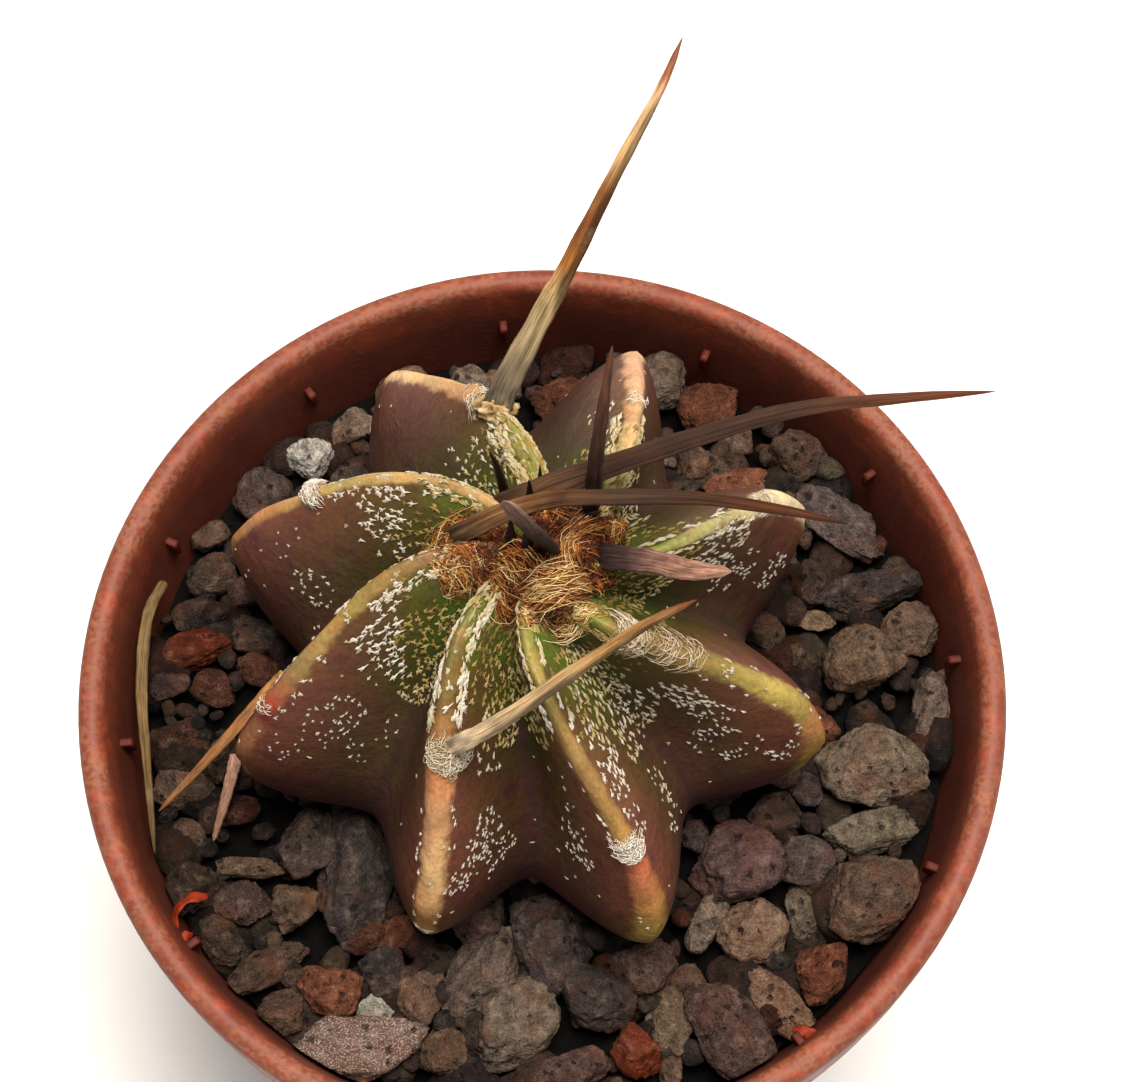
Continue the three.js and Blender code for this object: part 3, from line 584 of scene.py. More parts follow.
# Combed locks of wool: stops, spread, number of hairs and whiteness
LOCKS = [
    ([(-6.1, 4.1, 62.8), (-5.5, 4.8, 63.8), (-4.5, 5.2, 64.4), (-3.3, 5.3, 64.6)], 0.32, 110, 0.5),
    ([(-6.1, 3.1, 62.6), (-6, 4, 63.4), (-5.3, 4.6, 64.2), (-4.1, 5, 64.6)], 0.32, 110, 0.44),
    ([(-6.2, 3, 62.6), (-5.8, 2.4, 62.8), (-5.1, 2.1, 63.4), (-4.3, 2.4, 64.2)], 0.35, 110, 0.5),
    ([(-6, 2.7, 63.6), (-5, 3, 64.4), (-4.2, 2.2, 64.2), (-3.7, 1.1, 63.4)], 0.45, 130, 0.62),
    ([(-5.1, 3.5, 64.2), (-4.2, 3.8, 64.8), (-3.1, 3.8, 65)], 0.5, 70, 0.5),
    ([(-5.1, 4.1, 63.8), (-3.9, 3.5, 64.2), (-3.2, 3.6, 64.6)], 0.5, 60, 0.36),
    ([(-3, 3, 65.2), (-2, 2.4, 65.8), (-1.4, 1.6, 65.8), (-0.8, 0.9, 65.2)], 0.4, 150, 0.66),
    ([(-2.6, 2.2, 64.8), (-2.2, 0.9, 64.8), (-1.7, 0, 64.2), (-0.8, -0.2, 63.8)], 0.35, 110, 0.6),
    ([(-1.8, 0.1, 64.2), (-0.4, 0.4, 65.6), (1.3, 0.7, 66), (3, 1.5, 65.4)], 0.42, 210, 0.56),
    ([(-1.2, 0.6, 65.4), (0.2, 0.9, 66.2), (1.9, 1.3, 66.2), (3.2, 1.7, 65.4)], 0.42, 200, 0.66),
    ([(-1.4, -0.2, 63.8), (-0.2, -0.5, 63.6), (1, -0.7, 63)], 0.3, 60, 0.72),
    ([(-1, 2.3, 65), (-0.5, 1.6, 65.4), (0.2, 2.1, 65.6)], 0.4, 60, 0.2),
    ([(0.4, -0.2, 64), (1.5, 0.2, 64.6), (2.1, 0.9, 64.8)], 0.3, 80, 0.6),
    ([(1.3, 1.5, 66), (1.5, 2.8, 66.6), (2.2, 4, 66.6), (3.7, 5.4, 65.8)], 0.34, 170, 0.56),
    ([(1.7, 1.8, 65.8), (2, 3.2, 66.2), (2.7, 4.3, 66.2), (4.3, 5.6, 65.4)], 0.34, 150, 0.42),
    ([(4.3, 5.6, 65.2), (4.5, 4.7, 65), (4, 3.9, 64.6)], 0.25, 70, 0.46),
    ([(2, 2.3, 65.6), (2.2, 1.6, 65.6), (3.3, 1.7, 65)], 0.3, 90, 0.3),
    ([(2.5, 4.4, 64.6), (3.3, 5, 64.8), (4.2, 5.3, 64.6)], 0.5, 110, 0.16),
    ([(0.1, 5.3, 65), (1.1, 5.2, 65.4), (2.3, 5.4, 65.2)], 0.5, 120, 0.4),
    ([(0.3, 7, 64.4), (1.6, 7.2, 64.6), (2.9, 7.5, 64.2)], 0.5, 80, 0.55),
    ([(2.2, 3.6, 65.8), (3, 3.1, 66), (4.2, 2.6, 65.2)], 0.35, 80, 0.24),
    ([(-2.6, 3.4, 65.4), (-1.4, 3, 66), (-0.2, 2, 66.2), (0.4, 1, 65.8)], 0.45, 90, 0.7),
    ([(0.4, -0.6, 63.6), (1.6, -0.9, 63.8), (2.8, -0.4, 64), (3.6, 0.6, 64.2)], 0.35, 70, 0.78),
    ([(-1.6, -0.2, 63.6), (-0.6, -0.7, 63.4), (0.8, -1, 63)], 0.3, 30, 0.82),
]
# Young dark spines: foot, middle, tip and half width
YOUNG_SPINES = [
    ((-2, 7.3, 62.6), (-2.5, 7.8, 67), (-3, 8.2, 69), 0.33),
    ((-0.6, 6.2, 63.6), (-0.6, 6.3, 67), (-0.6, 6.4, 69), 0.3),
    ((-0.1, 7.9, 63.6), (0, 7.7, 66), (0, 7.7, 68.2), 0.2),
    ((-1.6, 3.4, 63.6), (-1.7, 3.8, 66), (-1.7, 4.2, 68.2), 0.5),
    ((-0.6, 2.6, 64), (-0.7, 3.2, 66.4), (-0.8, 3.8, 68.4), 0.55),
    ((2.3, 5.2, 63.6), (2.9, 5.3, 65.6), (3.7, 5.3, 66.6), 0.5),
]
# Crisp curls of moulding flash on the collar and among the stones: stops and half width
FLASH_CURLS = [
    ([(-23.5, -15.4, 45.6), (-23.4, -14.1, 46.1), (-22.5, -13.3, 46.3), (-21.4, -13, 45.6)], 0.5),
    ([(-23.5, -16.4, 45.4), (-22.9, -15.8, 46), (-22.3, -15.5, 45.6)], 0.36),
    ([(15.8, -21.4, 45.6), (16.7, -21.8, 46), (17.5, -22.3, 45.4)], 0.42),
]

# Stones that the eye knows again: centre x and y, length, width, turn and tone
KNOWN_STONES = [
    (-12.5, -22.6, 8.4, 4.4, 10, "sparkling"), (-10.6, -20.2, 2.6, 2.2, -20, "white"),
    (-13.5, -18.6, 3.6, 3.5, 0, "clay"), (-10.4, -17.4, 3.2, 2.8, 90, "dark"),
    (-7.8, -19.2, 4.1, 2.6, 80, "beige"), (-3.9, -17.9, 6.1, 3.7, 60, "grey"),
    (-1.8, -20.9, 5.9, 4, 45, "grey"), (0.5, -15.4, 6.2, 4.6, 110, "dark"),
    (3.6, -18.9, 4.8, 3.8, -30, "dark"), (1.6, -24, 4.5, 3.1, 20, "plum"),
    (-6.3, -22.6, 3.2, 2.6, -20, "brown"), (6, -22.6, 3.4, 3, -40, "orange"),
    (6.4, -17.3, 3.8, 3.6, 0, "plum"), (8.3, -20.6, 3.8, 2.6, 100, "beige"),
    (-12.2, -11.3, 7.8, 4.5, 85, "dark"), (-15.7, -9.2, 4.4, 3.6, 60, "dark"),
    (-19.2, -10.6, 4.5, 1.6, 0, "beige"), (-19.4, -13.1, 3.5, 2.6, 0, "plum"),
    (-16.1, -13.2, 3.2, 2.8, 70, "beige"), (-20.7, -15.4, 3.3, 2.6, -30, "brown"),
    (-18, -17.2, 5.4, 2, 30, "brown"), (-16.6, -20.2, 3.3, 2.8, 60, "brown"),
    (-23.2, -12.1, 4, 3.5, 30, "brown"), (22, -4.2, 6.5, 5.1, -25, "pale"), (26, 0.6, 5.4, 2.2, 80, "grey"),
    (21.4, -8.2, 6.4, 2.6, 15, "grey"), (21.2, -12.6, 6.4, 5, 30, "brown"),
    (12.6, -10.6, 5.4, 4.9, 10, "plum"), (13.6, -14.9, 3.8, 3.6, 0, "beige"),
    (10.6, -14.2, 3.5, 2, 60, "grey"), (16.8, -13.8, 3.1, 2, 110, "grey"), (17.8, -17.3, 4, 3, 60, "rust"),
    (15.3, -19.6, 5.9, 2.4, -40, "beige"), (11.6, -21.2, 7, 4, -50, "plum"),
    (21.6, 3.4, 4.7, 4.3, 20, "beige"), (25, 5.6, 3.9, 3.4, 30, "beige"), (22, 8.6, 6.2, 3.2, 10, "dark"),
    (20.4, 13.4, 6.2, 3.2, -40, "dark"), (17.4, 18.6, 3.8, 3.4, 20, "brown"),
    (13.8, 16.2, 4.9, 2.5, 10, "rust"), (11.6, 22.2, 3.8, 3.6, 0, "rust"), (7.8, 24.4, 4, 3.8, 0, "grey"),
    (1.2, 22.4, 4.1, 3.5, 0, "rust"), (-16.2, 18.4, 2.8, 2.8, 30, "white"),
    (-22.4, 9.6, 3.2, 2.6, 45, "brown"), (-23.4, 4.4, 3.9, 2.4, 10, "orange"),
    (-22, 1.7, 3, 2.2, -20, "rust"), (-19.4, 5.6, 3.8, 2.4, 0, "dark"), (-24.2, -2, 3.6, 2.8, 0, "rust"),
    (-24, -5.2, 3.8, 2.4, -10, "beige"), (-20.4, -6.7, 2.9, 2.3, 20, "rust"),
]
STONE_TONES = {
    "sparkling": "#6a574e", "white": "#aca8a0", "pale": "#84705f", "clay": "#7e4a35", "grey": "#625449",
    "beige": "#6e5848", "dark": "#423836", "plum": "#4e3a36", "brown": "#523f33", "rust": "#5a3222",
    "orange": "#7c3018",
}
FILL_TONES = [
    "dark", "grey", "brown", "plum", "dark", "brown", "grey", "rust", "dark", "plum", "brown", "beige",
]


# Stage


class STAGE_OT_photo(bpy.types.Operator):
    """Adds the camera, the pale floor and the soft studio light"""

    bl_idname = "cactus.stage"
    bl_label = "Stage"

    def execute(self, context):
        stage = settings("stage")
        clear_selection()
        place = Vector(stage.camera_place)
        bpy.ops.object.camera_add(location=place)
        camera = context.object
        camera.name = "camera"
        camera.data.lens = stage.lens
        camera.rotation_euler = (Vector(stage.camera_target) - place).to_track_quat("-Z", "Y").to_euler()
        camera.data.clip_start = 0.01
        context.scene.camera = camera

        bpy.ops.mesh.primitive_plane_add(size=stage.floor_size)
        floor = named("floor")
        floor.data.materials.append(floor_paper(stage.floor_colour))

        # Softboxes: name, place, width, power and colour
        softboxes = [
            ("softbox_above", (0.04, 0.07, 0.52), 0.26, 5.2, "#fff6ea"),
            ("softbox_right", (0.40, 0.05, 0.34), 0.24, 0.35, "#ffffff"),
            ("softbox_front", (-0.10, -0.46, 0.40), 0.30, 0.6, "#ffffff"),
        ]
        for name, where, width, power, colour in softboxes:
            bpy.ops.object.light_add(type="AREA", location=where)
            light = context.object
            light.name = name
            light.data.shape = "SQUARE"
            light.data.size = width
            light.data.energy = power
            light.data.color = linear(colour)[:3]
            aim = Vector((0, 0, POT_HIGH.z)) - Vector(where)
            light.rotation_euler = aim.to_track_quat("-Z", "Y").to_euler()

        world = bpy.data.worlds.new("studio")
        world.use_nodes = True
        world.node_tree.nodes["Background"].inputs["Color"].default_value = linear("#fbfbfb")
        world.node_tree.nodes["Background"].inputs["Strength"].default_value = 0.15
        context.scene.world = world
        context.scene.view_settings.view_transform = "Standard"
        return {"FINISHED"}


def floor_paper(colour):
    """Matt seamless paper: almost white, with no gloss of its own."""
    material = new_material("matt_seamless_paper")
    place = add_node(material, "TexCoord").outputs["Object"]
    tooth = add_node(material, "TexNoise", {"Vector": place, "Scale": 900.0})
    bump = add_node(material, "Bump", {"Height": tooth, "Strength": 0.05, "Distance": 0.0002})
    shader = add_node(
        material, "BsdfPrincipled", {"Base Color": tuple(colour), "Roughness": 0.95, "Normal": bump},
    )
    add_node(material, "OutputMaterial", {"Surface": shader})
    return material


# Pot


# Millimetres: the inner face at the pot's floor and at the foot of its collar, where it turns steeper
FLOOR_TOP, FLOOR_INNER = 2.4, 19.6
COLLAR_FOOT, COLLAR_INNER = 41, 26.933
COLLAR_SLOPE = 1 / 6
DRAIN_HOLES, DRAIN_RADIUS, DRAIN_RING = 6, 2, 14.2
# The lugs in the collar: number, degrees to the first, height of their middles, size outwards, along and up
LUGS, LUG_TURN, LUG_HEIGHT = 12, 6, 45.4
LUG_SIZE = np.array([1.4, 0.6, 1.7])


def inner_radius(height):
    """Radius of the pot's inner face at a height, both in millimetres."""
    rise = np.clip((height - FLOOR_TOP) / (COLLAR_FOOT - FLOOR_TOP), 0, 1)
    below = FLOOR_INNER + (COLLAR_INNER - FLOOR_INNER) * rise
    return np.where(height >= COLLAR_FOOT, COLLAR_INNER + (height - COLLAR_FOOT) * COLLAR_SLOPE, below)


def moulded_polypropylene(pot):
    """Injection-moulded polypropylene: a satin terracotta wall, a lip with chalky lime film and scuffs."""
    material = new_material("moulded_polypropylene")
    place = add_node(material, "TexCoord").outputs["Object"]
    parts = add_node(material, "SeparateXYZ", {"Vector": place})
    # Lime film in patches of about 3 mm and grain of 0.4 mm
    patches = add_node(
        material, "TexNoise", {"Vector": place, "Scale": 330.0, "Detail": 5.0, "Roughness": 0.62},
    )
    grain = add_node(
        material, "TexNoise", {"Vector": place, "Scale": 2600.0, "Detail": 3.0, "Roughness": 0.6},
    )
    streaks = add_node(material, "Mapping", {"Vector": place, "Scale": (900.0, 900.0, 90.0)})
    drips = add_node(material, "TexNoise", {"Vector": streaks, "Scale": 1.0, "Detail": 3.0})
    lip = add_node(
        material, "MapRange",
        {"Value": parts.outputs["Z"], "From Min": pot.height - 0.0016, "From Max": pot.height - 0.0003},
        interpolation_type="SMOOTHSTEP",
    )
    film = add_node(material, "ValToRGB", {"Fac": patches}, stops=[(0.36, 0.15), (0.62, 1.0)])
    film_grain = add_node(material, "ValToRGB", {"Fac": grain}, stops=[(0.42, 0.15), (0.58, 1.0)])
    film_share = add_node(material, "Math", {0: film, 1: film_grain}, operation="MULTIPLY")
    film_place = add_node(material, "MapRange", {"Value": lip, "To Min": 0.08, "To Max": 0.7})
    film_amount = add_node(material, "Math", {0: film_share, 1: film_place}, operation="MULTIPLY")
    scuffs = add_node(
        material, "TexNoise",
        {"Vector": place, "Scale": 620.0, "Detail": 4.0, "Roughness": 0.7, "Distortion": 0.6},
    )
    scuff_share = add_node(material, "ValToRGB", {"Fac": scuffs}, stops=[(0.5, 0.0), (0.66, 0.5)])
    scuff_place = add_node(
        material, "MapRange",
        {"Value": parts.outputs["Z"], "From Min": pot.height - 0.0055, "From Max": pot.height - 0.001,
         "To Min": 0.22}, interpolation_type="SMOOTHSTEP",
    )
    scuff_amount = add_node(material, "Math", {0: scuff_share, 1: scuff_place}, operation="MULTIPLY")
    wall = add_node(
        material, "ValToRGB", {"Fac": drips},
        stops=[(0.3, "#66291b"), (0.55, "#74321f"), (0.75, "#7e3d29")],
    )
    tinted = add_node(material, "Mix", {0: 0.5, 6: wall, 7: tuple(pot.plastic)}, data_type="RGBA")
    scuffed = add_node(
        material, "Mix", {0: scuff_amount, 6: tinted.outputs[2], 7: tuple(pot.scuff)}, data_type="RGBA",
    )
    chalked = add_node(
        material, "Mix", {0: film_amount, 6: scuffed.outputs[2], 7: tuple(pot.chalk)}, data_type="RGBA",
    )
    # Painted shade: the inner wall is darkened just above the gravel, where the stones shade it
    inside = add_node(material, "Attribute", attribute_name="inside")
    shade_height = add_node(
        material, "Math", {0: patches, 1: -0.003, 2: parts.outputs["Z"]}, operation="MULTIPLY_ADD",
    )
    shade_rise = add_node(
        material, "MapRange",
        {"Value": shade_height, "From Min": pot.height - 0.0026, "From Max": pot.height - 0.0054,
         "To Max": 0.6}, interpolation_type="SMOOTHSTEP",
    )
    painted_shade = add_node(material, "Math", {0: shade_rise, 1: inside.outputs["Fac"]}, operation="MULTIPLY")
    # Painted shade mixed into the inner wall above the gravel
    dust_and_shade_mixed = add_node(
        material, "Mix", {0: painted_shade, 6: chalked.outputs[2], 7: linear("#2c1712")}, data_type="RGBA",
    )
    height = add_node(material, "Math", {0: grain, 1: scuffs}, operation="ADD")
    bump = add_node(material, "Bump", {"Height": height, "Strength": 0.5, "Distance": 0.00006})
    rough = add_node(material, "MapRange", {"Value": film_amount, "To Min": 0.5, "To Max": 0.85})
    shader = add_node(
        material, "BsdfPrincipled",
        {"Base Color": dust_and_shade_mixed.outputs[2], "Roughness": rough, "IOR": 1.49, "Specular IOR Level": 0.3,
         "Normal": bump},
    )
    add_node(material, "OutputMaterial", {"Surface": shader})
    return material


def add_shell(pot):
    """The pot's wall, drawn up ring by ring from the middle of its underside, then drilled for drainage."""
    rim = pot.rim_radius / MM
    top = pot.height / MM
    # Radius and height from the middle of the underside, out and up the wall, over the lip and down inside
    outline = [
        (10, 0), (10.5, 0.7), (10.8, 1.2), (18.4, 1.2), (18.7, 0.5), (18.9, 0.05), (19.3, 0), (20.6, 0),
        (20.9, 0.15), (21.05, 0.45), (21.25, 0.9), (24.7, 22), (28.0, 39.9), (28.25, 40.4), (28.9, 40.7),
        (29.3, 40.95), (29.6, 41.3), (29.7, 41.7), (rim - 0.12, top - 5), (rim - 0.02, top - 1.4),
        (rim, top - 0.9), (rim - 0.06, top - 0.5), (rim - 0.26, top - 0.2), (rim - 0.55, top - 0.04),
        (rim - 0.9, top), (rim - 1.2, top - 0.05), (rim - 1.45, top - 0.22), (rim - 1.62, top - 0.5),
        (rim - 1.72, top - 0.9), (float(inner_radius(45)), 45), (26.95, 41.1), (26.85, 40.6),
        (float(inner_radius(22)), 22), (19.9, 3.6), (19.5, 2.8), (19, 2.45), (18.2, FLOOR_TOP),
        (6, FLOOR_TOP),
    ]
    clear_selection()
    bpy.ops.mesh.primitive_circle_add(
        vertices=pot.sides, radius=outline[0][0] * MM, fill_type="NGON", location=(0, 0, outline[0][1] * MM),
    )
    piece = named("pot_shell")
    bpy.ops.object.transform_apply(location=True)
    bpy.ops.object.mode_set(mode="EDIT")
    bpy.ops.mesh.select_all(action="SELECT")
    bpy.ops.mesh.flip_normals()
    bpy.ops.mesh.select_mode(type="FACE")
    for (radius, height), (next_radius, next_height) in zip(outline, outline[1:]):
        widening = next_radius / radius
        bpy.ops.mesh.extrude_region_move()
        bpy.ops.transform.resize(value=(widening, widening, 1), center_override=(0, 0, height * MM))
        bpy.ops.transform.translate(value=(0, 0, (next_height - height) * MM))
    bpy.ops.mesh.select_all(action="SELECT")
    bpy.ops.mesh.normals_make_consistent(inside=False)
    bpy.ops.object.mode_set(mode="OBJECT")

    for hole in range(DRAIN_HOLES):
        angle = 2 * math.pi * hole / DRAIN_HOLES
        x, y = DRAIN_RING * MM * math.cos(angle), DRAIN_RING * MM * math.sin(angle)
        clear_selection()
        bpy.ops.mesh.primitive_cylinder_add(
            vertices=40, radius=DRAIN_RADIUS * MM, depth=6 * MM, location=(x, y, 1.2 * MM),
        )
        drill = bpy.context.object
        cut = piece.modifiers.new("Drain", "BOOLEAN")
        cut.object = drill
        cut.solver = "EXACT"
        bpy.context.view_layer.objects.active = piece
        bpy.ops.object.modifier_apply(modifier=cut.name)
        bpy.data.objects.remove(drill)
    clear_selection()
    piece.select_set(True)
    bpy.context.view_layer.objects.active = piece
    bpy.ops.object.shade_smooth_by_angle(angle=math.radians(40))
    wall = points_of(piece) / MM
    reach = np.hypot(wall[:, 0], wall[:, 1])
    within = (wall[:, 2] > FLOOR_TOP - 0.1) & (reach < inner_radius(wall[:, 2]) + 0.1)
    paint(piece, "inside", within.astype(float))
    finish_piece(piece, moulded_polypropylene(pot), "pot_plastic", "pot", smooth=False)


def add_lugs():
    """The stacking lugs: one rounded wedge, copied round the inside of the collar."""
    clear_selection()
    bpy.ops.mesh.primitive_cube_add(size=1)
    piece = named("pot_lugs")
    bpy.ops.object.mode_set(mode="EDIT")
    bpy.ops.mesh.select_all(action="SELECT")
    bpy.ops.mesh.bevel(offset=0.16, segments=3)
    bpy.ops.object.mode_set(mode="OBJECT")
    wedge = points_of(piece)
    repeated(piece, LUGS)
    # The wedge narrows towards its foot
    wedge[:, 1] *= 0.8 + 0.4 * wedge[:, 2]
    x, y, z = (wedge * LUG_SIZE).T
    x += inner_radius(LUG_HEIGHT)
    angle = np.radians(LUG_TURN + 360 / LUGS * np.arange(LUGS))[:, None]
    cos, sin = np.cos(angle), np.sin(angle)
    height = np.broadcast_to(z + LUG_HEIGHT, (LUGS, len(z)))
    lay(piece, np.stack([x * cos - y * sin, x * sin + y * cos, height], axis=-1) * MM)
    # Painted shade: the lugs' plastic colours are darkened
    finish_piece(piece, fresh_polypropylene("shaded_lug", "#40160c", "#561e11"), "pot_plastic", "pot")


def add_flash():
    """Moulding flash: thin curled ribbons of torn plastic."""
    piece, _, level, way = round_piece("pot_flash", 10, 26, len(FLASH_CURLS))
    ribbons = []
    for number, (stops, half_width) in enumerate(FLASH_CURLS):
        centre, ahead = route_at(stops, level)
        side, up = ways_across(ahead, [0.3, -0.4, 0.86])
        roll = (0.5 + 0.9 * np.sin(level * 3.4 + number))[:, None]
        ragged = 1 + 0.18 * np.sin(level * 19 + number)
        wide = half_width * np.clip(np.sin(np.pi * level), 0, 1) ** 0.35 * ragged
        flat = np.cos(way)[:, None] * (side * np.cos(roll) + up * np.sin(roll))
        deep = 0.2 * np.sin(way)[:, None] * (up * np.cos(roll) - side * np.sin(roll))
        ribbons.append(centre + wide[:, None] * (flat + deep))
    lay(piece, np.concatenate(ribbons) * MM)
    finish_piece(piece, fresh_polypropylene("flash", "#601c0e", "#8a3014"), "pot_plastic", "pot")


class POT_OT_add(bpy.types.Operator):
    """Adds the pot with its drain holes, the lugs inside the collar and the curls of moulding flash"""

    bl_idname = "cactus.pot"
    bl_label = "Pot"

    def execute(self, context):
        add_shell(settings("pot"))
        add_lugs()
        add_flash()
        return {"FINISHED"}


def fresh_polypropylene(part, dark, light):
    """The same polypropylene where no lime has settled on it: an even colour and a little more gloss. The
    lugs are given darker colours as painted shade.
    """
    material = new_material("fresh_polypropylene_" + part)
    place = add_node(material, "TexCoord").outputs["Object"]
    grain = add_node(material, "TexNoise", {"Vector": place, "Scale": 1500.0, "Detail": 4.0})
    colour = add_node(material, "ValToRGB", {"Fac": grain}, stops=[(0.3, dark), (0.7, light)])
    bump = add_node(material, "Bump", {"Height": grain, "Strength": 0.4, "Distance": 0.00005})
    shader = add_node(
        material, "BsdfPrincipled",
        {"Base Color": colour, "Roughness": 0.55, "IOR": 1.49, "Specular IOR Level": 0.15, "Normal": bump},
    )
    add_node(material, "OutputMaterial", {"Surface": shader})
    return material


# Growing mix and gravel


def mineral_mix():
    """Damp mineral growing mix: dark peat crumbs with pale pumice grains about 1 mm wide."""
    material = new_material("mineral_growing_mix")
    place = add_node(material, "TexCoord").outputs["Object"]
    crumbs = add_node(material, "TexVoronoi", {"Vector": place, "Scale": 900.0})
    tone = add_node(material, "SeparateColor", {"Color": crumbs.outputs["Color"]})
    colour = add_node(
        material, "ValToRGB", {"Fac": tone},
        stops=[(0.0, "#2c2420"), (0.55, "#4a3c32"), (0.8, "#6d5c4c"), (0.95, "#a79c8c")],
    )
    bump = add_node(material, "Bump", {"Height": crumbs, "Strength": 1.0, "Distance": 0.0004}, invert=True)
    shader = add_node(material, "BsdfPrincipled", {"Base Color": colour, "Roughness": 0.96, "Normal": bump})
    add_node(material, "OutputMaterial", {"Surface": shader})
    return material


def lava_rock(gravel):
    """Crushed basaltic lava: dull and dusty, with rusty stains and pale specks, small gas pores painted near
    black as the shade inside them, and painted shade on the deeper layers.
    """
    material = new_material("lava_rock")
    place = add_node(material, "TexCoord").outputs["Object"]
    tone = add_node(material, "Attribute", attribute_name="stone_tone")
    sparkle = add_node(material, "Attribute", attribute_name="sparkle")
    depth = add_node(material, "Attribute", attribute_name="stone_light")
    # Pores about a third of a millimetre wide, torn out of round, crowded in some parts of a stone, painted
    # dark as shade in each pit
    tearing = add_node(material, "TexNoise", {"Vector": place, "Scale": 2600.0, "Detail": 3.0})
    torn = add_node(
        material, "VectorMath", {0: tearing.outputs["Color"], 1: (0.0006, 0.0006, 0.0006), 2: place},
        operation="MULTIPLY_ADD",
    )
    pores = add_node(
        material, "TexVoronoi", {"Vector": torn, "Scale": 0.5 / gravel.pore, "Randomness": 1.0},
    )
    pore_pick = add_node(material, "SeparateColor", {"Color": pores.outputs["Color"]})
    crowding = add_node(material, "TexNoise", {"Vector": place, "Scale": 420.0, "Detail": 2.0})
    pore_chance = add_node(material, "Math", {0: pore_pick.outputs["Green"], 1: crowding}, operation="ADD")
    pore_width = add_node(
        material, "MapRange",
        {"Value": pore_chance, "From Min": 1.1, "From Max": 1.5, "To Min": 0.0, "To Max": 0.36},
    )
    pore_hole = add_node(material, "Math", {0: pores, 1: pore_width}, operation="SUBTRACT")
    pore_mask = add_node(
        material, "MapRange", {"Value": pore_hole, "From Min": -0.2, "From Max": 0.14, "To Min": 0.2},
        interpolation_type="SMOOTHSTEP",
    )
    # Crystal grain of about 0.15 mm over blotches of about 1 mm
    grain = add_node(
        material, "TexNoise", {"Vector": place, "Scale": 6500.0, "Detail": 3.0, "Roughness": 0.7},
    )
    blotches = add_node(
        material, "TexNoise", {"Vector": place, "Scale": 1100.0, "Detail": 5.0, "Roughness": 0.68},
    )
    stains = add_node(
        material, "TexNoise", {"Vector": place, "Scale": 300.0, "Detail": 4.0, "Roughness": 0.6},
    )
    grain_tone = add_node(
        material, "MapRange",
        {"Value": grain, "From Min": 0.28, "From Max": 0.72, "To Min": 0.35, "To Max": 1.6},
    )
    blotch_tone = add_node(
        material, "MapRange",
        {"Value": blotches, "From Min": 0.32, "From Max": 0.68, "To Min": 0.36, "To Max": 1.6},
    )
    both = add_node(material, "Math", {0: grain_tone, 1: blotch_tone}, operation="MULTIPLY")
    toned = add_node(material, "Mix", {0: 1.0, 6: tone, 7: both}, data_type="RGBA", blend_type="MULTIPLY")
    rust_share = add_node(material, "ValToRGB", {"Fac": stains}, stops=[(0.5, 0.0), (0.68, 0.5)])
    rusted = add_node(
        material, "Mix", {0: rust_share, 6: toned.outputs[2], 7: linear("#5c3826")}, data_type="RGBA",
    )
    dust_share = add_node(material, "ValToRGB", {"Fac": blotches}, stops=[(0.55, 0.0), (0.75, 0.4)])
    dust_and_shade_mixed = add_node(
        material, "Mix", {0: dust_share, 6: rusted.outputs[2], 7: linear("#7c6a5a")}, data_type="RGBA",
    )
    speckles = add_node(
        material, "TexNoise", {"Vector": place, "Scale": 9500.0, "Detail": 2.0, "Roughness": 0.6},
    )
    speck_mask = add_node(
        material, "MapRange", {"Value": speckles, "From Min": 0.51, "From Max": 0.63},
        interpolation_type="SMOOTHSTEP",
    )
    speck_share = add_node(
        material, "Math", {0: speck_mask, 1: sparkle.outputs["Fac"]}, operation="MULTIPLY",
    )
    specked = add_node(
        material, "Mix", {0: speck_share, 6: dust_and_shade_mixed.outputs[2], 7: linear("#988a80")}, data_type="RGBA",
    )
    # Painted shade: each pore is filled with near black
    pore_shaded = add_node(
        material, "Mix", {0: pore_mask, 6: linear("#120d0c"), 7: specked.outputs[2]}, data_type="RGBA",
    )
    # Painted shade: the deeper layers, seen in the gaps between stones, are darkened
    depth_shaded = add_node(
        material, "Mix", {0: 1.0, 6: pore_shaded.outputs[2], 7: depth.outputs["Fac"]}, data_type="RGBA",
        blend_type="MULTIPLY",
    )
    coarse = add_node(material, "Math", {0: blotches, 1: 1.6, 2: pore_mask}, operation="MULTIPLY_ADD")
    relief = add_node(material, "Math", {0: grain, 1: 0.3, 2: coarse}, operation="MULTIPLY_ADD")
    bump = add_node(material, "Bump", {"Height": relief, "Strength": 1.0, "Distance": 0.00038})
    shader = add_node(
        material, "BsdfPrincipled",
        {"Base Color": depth_shaded.outputs[2], "Roughness": 0.92, "Specular IOR Level": 0.14, "Normal": bump},
    )
    add_node(material, "OutputMaterial", {"Surface": shader})
    return material


# Millimetres: how far out stones lie, and chips, how far from the stem, and the lengths of scattered stones
GRAVEL_EDGE = 26.3
CHIP_EDGE = 26.4
GRAVEL_HOLE = 12.4
FILL_LENGTHS = (2.2, 4.2)
FILL_TRIES = 6000
# How close two stones may lie, as a share of their sizes
CROWDING = 0.46


def placed_stones(count):
    """The stones by name, then a seeded scatter between them, as in the CAD source."""
    draw = draw_from(41)
    placed = list(KNOWN_STONES)
    for _ in range(FILL_TRIES):
        if len(placed) >= len(KNOWN_STONES) + count:
            break
        radius = GRAVEL_EDGE * math.sqrt(draw())
        angle = 2 * math.pi * draw()
        length = FILL_LENGTHS[0] + (FILL_LENGTHS[1] - FILL_LENGTHS[0]) * draw()
        width = length * (0.62 + 0.33 * draw())
        turn = 180 * draw()
        x, y = radius * math.cos(angle), radius * math.sin(angle)
        crowded = any(
            math.hypot(x - row[0], y - row[1]) < CROWDING * ((row[2] + row[3]) / 2 + (length + width) / 2)
            for row in placed
        )
        from_stem = math.hypot(x - STEM_FOOT[0], y - STEM_FOOT[1])
        if not crowded and from_stem > GRAVEL_HOLE and radius + width / 2 < GRAVEL_EDGE + 0.8:
            placed.append((x, y, length, width, turn, FILL_TONES[len(placed) % len(FILL_TONES)]))
    return placed


